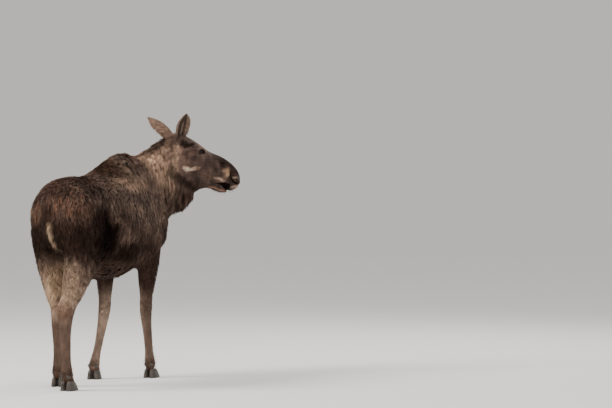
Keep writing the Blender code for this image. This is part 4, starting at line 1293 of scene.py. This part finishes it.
def make_eye(side):
    """An eyeball with a bulging clear front, a brown iris and a level, oval pupil."""
    bm = bmesh.new()
    bmesh.ops.create_uvsphere(bm, u_segments=64, v_segments=40, radius=EYE_RADIUS)
    mesh = bpy.data.meshes.new(f"eye_{side}_ball")
    bm.to_mesh(mesh)
    bm.free()
    points = points_of(mesh)
    outward = np.array(HEAD_TURN @ Vector((0.22, SIDES[side], 0.02)).normalized())
    across = np.array(HEAD_TURN @ Vector((1, 0, -0.25)))
    across = unit((across - outward * (across @ outward))[None])[0]
    up = np.cross(across, outward)
    aim = unit(points)
    front = np.arccos(np.clip(aim @ outward, -1, 1))
    points = points * (1 + BULGE * (1 - smooth(front, 0.35, 0.62)))[:, None]
    flat_u, flat_v = aim @ across, aim @ up
    rays = 0.5 + 0.5 * np.sin(np.arctan2(flat_v, flat_u) * 40 + 3 * wobble(points, 0.004, 71))
    iris = 1 - smooth(np.hypot(flat_u, flat_v * 1.06), *IRIS_EDGE)
    pupil = 1 - smooth((flat_u / PUPIL_HALF[0]) ** 2 + (flat_v / PUPIL_HALF[1]) ** 2, 0.85, 1.1)
    ring = mix(even(COLOURS["iris"], points), COLOURS["iris_pale"], rays)
    colours = laid(even(COLOURS["eyeball"], points), (ring, iris * (front < 1.2)),
                   (COLOURS["pupil"], pupil * (front < 1.2)))
    set_points(mesh, points + np.array(HEAD_TURN) @ eye_centre(side) + np.array(POLL))
    paint(mesh, colours)
    smooth_faces(mesh)
    return finished(link(dressed(mesh, "eyeball"), f"eye_{side}_ball"), "eye", f"eye_{side}")


def make_horn(node):
    """A claw's horn: its solid with rounded edges, finer faces and growth rings."""
    obj = link(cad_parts[node].data.copy(), "horn")
    modify(obj, "WELD", merge_threshold=WELD_REACH)
    modify(obj, "BEVEL", width=0.0022, segments=2, limit_method="ANGLE", angle_limit=math.radians(50))
    modify(obj, "SUBSURF", subdivision_type="SIMPLE", levels=2, render_levels=2)
    mesh = applied(obj, f"{node}_horn")
    points, normals, edges = points_of(mesh), normals_of(mesh), edges_of(mesh)
    claw = node.startswith("claw")
    points = relax(points, edges, 3 if claw else 14, (0.35 if claw else 0.5) * (points[:, 2] > 0.002))
    level = points[:, 2].copy()
    if claw:
        top = points[level > level.max() - 0.008].mean(axis=0)
        crown = smooth(level, 0.046, level.max())
        points[:, :2] += (top - points)[:, :2] * (0.20 * crown ** 2)[:, None]
        above = smooth(level, 0.004, 0.014) * (1 - smooth(level, 0.060, 0.070))
        rings = np.sin(level / RING_STEP * math.pi + 0.8 * wobble(points, 0.05, 81)) * RING_HEIGHT
        points = points + normals * (rings * above)[:, None]
    else:
        # A dewclaw's upper edge is drawn in under the hair of the foot
        foot = (box_middle(node.replace("outer", "inner")) + box_middle(node.replace("inner", "outer"))) / 2
        drawn = smooth(level, level.mean(), level.max())
        points[:, 1] += (foot.y - points[:, 1]) * 0.42 * drawn
        points[:, 0] += 0.016 * drawn
    set_points(mesh, points)
    smooth_faces(mesh)
    return finished(link(dressed(mesh, "horn"), f"{node}_horn"), "hoof", node)


# ---------------------------------------------------------------- stage

FLOOR_REACH = 34.0
BACKDROP_BEND = 26.0
CAMERA_DISTANCE = 16.0
CAMERA_HEIGHT = 1.45
CAMERA_BEARING = 30
CAMERA_ASIDE = 5.56
CAMERA_FALL = -0.38
FOCAL = 124.2
SKY_COLOUR = (0.90, 0.885, 0.86, 1)
# Place, size and colour of each lamp, named as its setting
LAMPS = {"key": ((-4.5, 5.0, 6.5), 3.5, (1.0, 0.96, 0.90)),
         "fill": ((-5.5, -6.5, 3.5), 5.0, (0.92, 0.96, 1.0)),
         "rim": ((5.5, -1.5, 5.5), 3.0, (1.0, 0.97, 0.93))}


def bearing(turn, rise=0.0):
    """The direction at a turn about the upright and a rise above the level, both in degrees."""
    turn, rise = math.radians(turn), math.radians(rise)
    return Vector((math.cos(turn) * math.cos(rise), math.sin(turn) * math.cos(rise), math.sin(rise)))


def placed(data, name, place, look):
    """A lamp or a camera at a place, looking a way."""
    made = link(data, name)
    made.location = place
    made.rotation_euler = look.to_track_quat("-Z", "Y").to_euler()
    return made


def make_stage(settings):
    """A pale floor, soft lights and the camera behind the animal's right hip."""
    scene = bpy.context.scene
    floor_mesh = bpy.data.meshes.new("floor")
    bm = bmesh.new()
    bmesh.ops.create_circle(bm, cap_ends=True, segments=96, radius=FLOOR_REACH)
    rim = list(bm.edges)
    for turn in np.linspace(0, math.pi / 2, 17)[1:]:
        made = bmesh.ops.extrude_edge_only(bm, edges=rim)["geom"]
        rim = [part for part in made if isinstance(part, bmesh.types.BMEdge)]
        reach = FLOOR_REACH + BACKDROP_BEND * math.sin(turn)
        for vertex in {vertex for edge in rim for vertex in edge.verts}:
            flat = Vector((vertex.co.x, vertex.co.y, 0)).normalized() * reach
            vertex.co = (flat.x, flat.y, BACKDROP_BEND * (1 - math.cos(turn)))
    for face in bm.faces:
        face.smooth = len(face.verts) == 4
    bm.to_mesh(floor_mesh)
    bm.free()
    link(dressed(floor_mesh, "pale_floor"), "floor")
    world = bpy.data.worlds.new("studio")
    scene.world = world
    world.use_nodes = True
    background = world.node_tree.nodes["Background"]
    background.inputs["Color"].default_value = SKY_COLOUR
    background.inputs["Strength"].default_value = settings.sky
    for name, (place, size, colour) in LAMPS.items():
        light = bpy.data.lights.new(name, "AREA")
        light.shape, light.size, light.energy, light.color = "DISK", size, getattr(settings, name), colour
        placed(light, name, place, Vector((0, 0, 1.0)) - Vector(place))
    camera = bpy.data.cameras.new("camera")
    camera.sensor_width, camera.lens, camera.clip_end = 36, FOCAL, 300
    eye = BODY_ORIGIN - bearing(CAMERA_BEARING) * CAMERA_DISTANCE + Vector((0, 0, CAMERA_HEIGHT))
    scene.camera = placed(camera, "camera", eye, bearing(CAMERA_BEARING - CAMERA_ASIDE, CAMERA_FALL))


# ---------------------------------------------------------------- add-on

class MooseSettings(bpy.types.PropertyGroup):
    """What can be changed about the moose."""
    voxel: bpy.props.FloatProperty(name="Skin grain", description="Size of the skin's faces on the body",
                                   default=0.0128, min=0.006, max=0.03, unit="LENGTH")
    thickness: bpy.props.FloatProperty(name="Thickness", description="Share of the coat's locks that grow",
                                       default=1.0, min=0.05, max=1.2)
    seed: bpy.props.IntProperty(name="Seed", description="Seed of the coat's chance", default=7)


class StageSettings(bpy.types.PropertyGroup):
    """What can be changed about the lights."""
    sky: bpy.props.FloatProperty(name="Sky", description="Strength of the even light", default=0.85)
    key: bpy.props.FloatProperty(name="Key", description="Power of the main light", default=900)
    fill: bpy.props.FloatProperty(name="Fill", description="Power of the near light", default=260)
    rim: bpy.props.FloatProperty(name="Rim", description="Power of the far light", default=240)


class MOOSE_OT_skin(bpy.types.Operator):
    """Build the one skin that stands for the flesh"""
    bl_idname = "moose.skin"
    bl_label = "Skin"

    def execute(self, context):
        make_skin(context.scene.moose)
        return {"FINISHED"}


class MOOSE_OT_eyes(bpy.types.Operator):
    """Build the eyeballs"""
    bl_idname = "moose.eyes"
    bl_label = "Eyes"

    def execute(self, context):
        for side in SIDES:
            make_eye(side)
        return {"FINISHED"}


class MOOSE_OT_horn(bpy.types.Operator):
    """Build the horn of the claws and dewclaws"""
    bl_idname = "moose.horn"
    bl_label = "Horn"

    def execute(self, context):
        for node in sorted(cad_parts):
            if "claw" in node:
                make_horn(node)
        return {"FINISHED"}


class MOOSE_OT_coat(bpy.types.Operator):
    """Grow the coat of solid locks over the skin and the ears"""
    bl_idname = "moose.coat"
    bl_label = "Coat"

    def execute(self, context):
        make_coat(context.scene.moose)
        for side in SIDES:
            make_ear_coat(side, context.scene.moose)
        return {"FINISHED"}


class MOOSE_OT_bristles(bpy.types.Operator):
    """Set the lashes on the lids and the whiskers on the lips"""
    bl_idname = "moose.bristles"
    bl_label = "Bristles"

    def execute(self, context):
        make_lashes(context.scene.moose)
        make_whiskers(context.scene.moose)
        return {"FINISHED"}


class MOOSE_OT_stage(bpy.types.Operator):
    """Set the floor, the lights and the camera"""
    bl_idname = "moose.stage"
    bl_label = "Stage"

    def execute(self, context):
        make_stage(context.scene.moose_stage)
        return {"FINISHED"}


class MOOSE_PT_panel(bpy.types.Panel):
    """Lists the moose's pieces"""
    bl_idname = "MOOSE_PT_panel"
    bl_label = "Moose"
    bl_space_type = "VIEW_3D"
    bl_region_type = "UI"
    bl_category = "Moose"

    def draw(self, context):
        layout = self.layout
        for group in (context.scene.moose, context.scene.moose_stage):
            for name in group.__annotations__:
                layout.prop(group, name)
        for operator in OPERATORS:
            layout.operator(operator.bl_idname)


OPERATORS = (MOOSE_OT_skin, MOOSE_OT_eyes, MOOSE_OT_horn, MOOSE_OT_coat, MOOSE_OT_bristles, MOOSE_OT_stage)
CLASSES = (MooseSettings, StageSettings, *OPERATORS, MOOSE_PT_panel)


def register():
    for cls in CLASSES:
        bpy.utils.register_class(cls)
    bpy.types.Scene.moose = bpy.props.PointerProperty(type=MooseSettings)
    bpy.types.Scene.moose_stage = bpy.props.PointerProperty(type=StageSettings)


def unregister():
    del bpy.types.Scene.moose_stage
    del bpy.types.Scene.moose
    for cls in reversed(CLASSES):
        bpy.utils.unregister_class(cls)


def main():
    register()
    bpy.ops.moose.skin()
    bpy.ops.moose.eyes()
    bpy.ops.moose.horn()
    bpy.ops.moose.coat()
    bpy.ops.moose.bristles()
    bpy.ops.moose.stage()


if __name__ == "__main__":
    main()
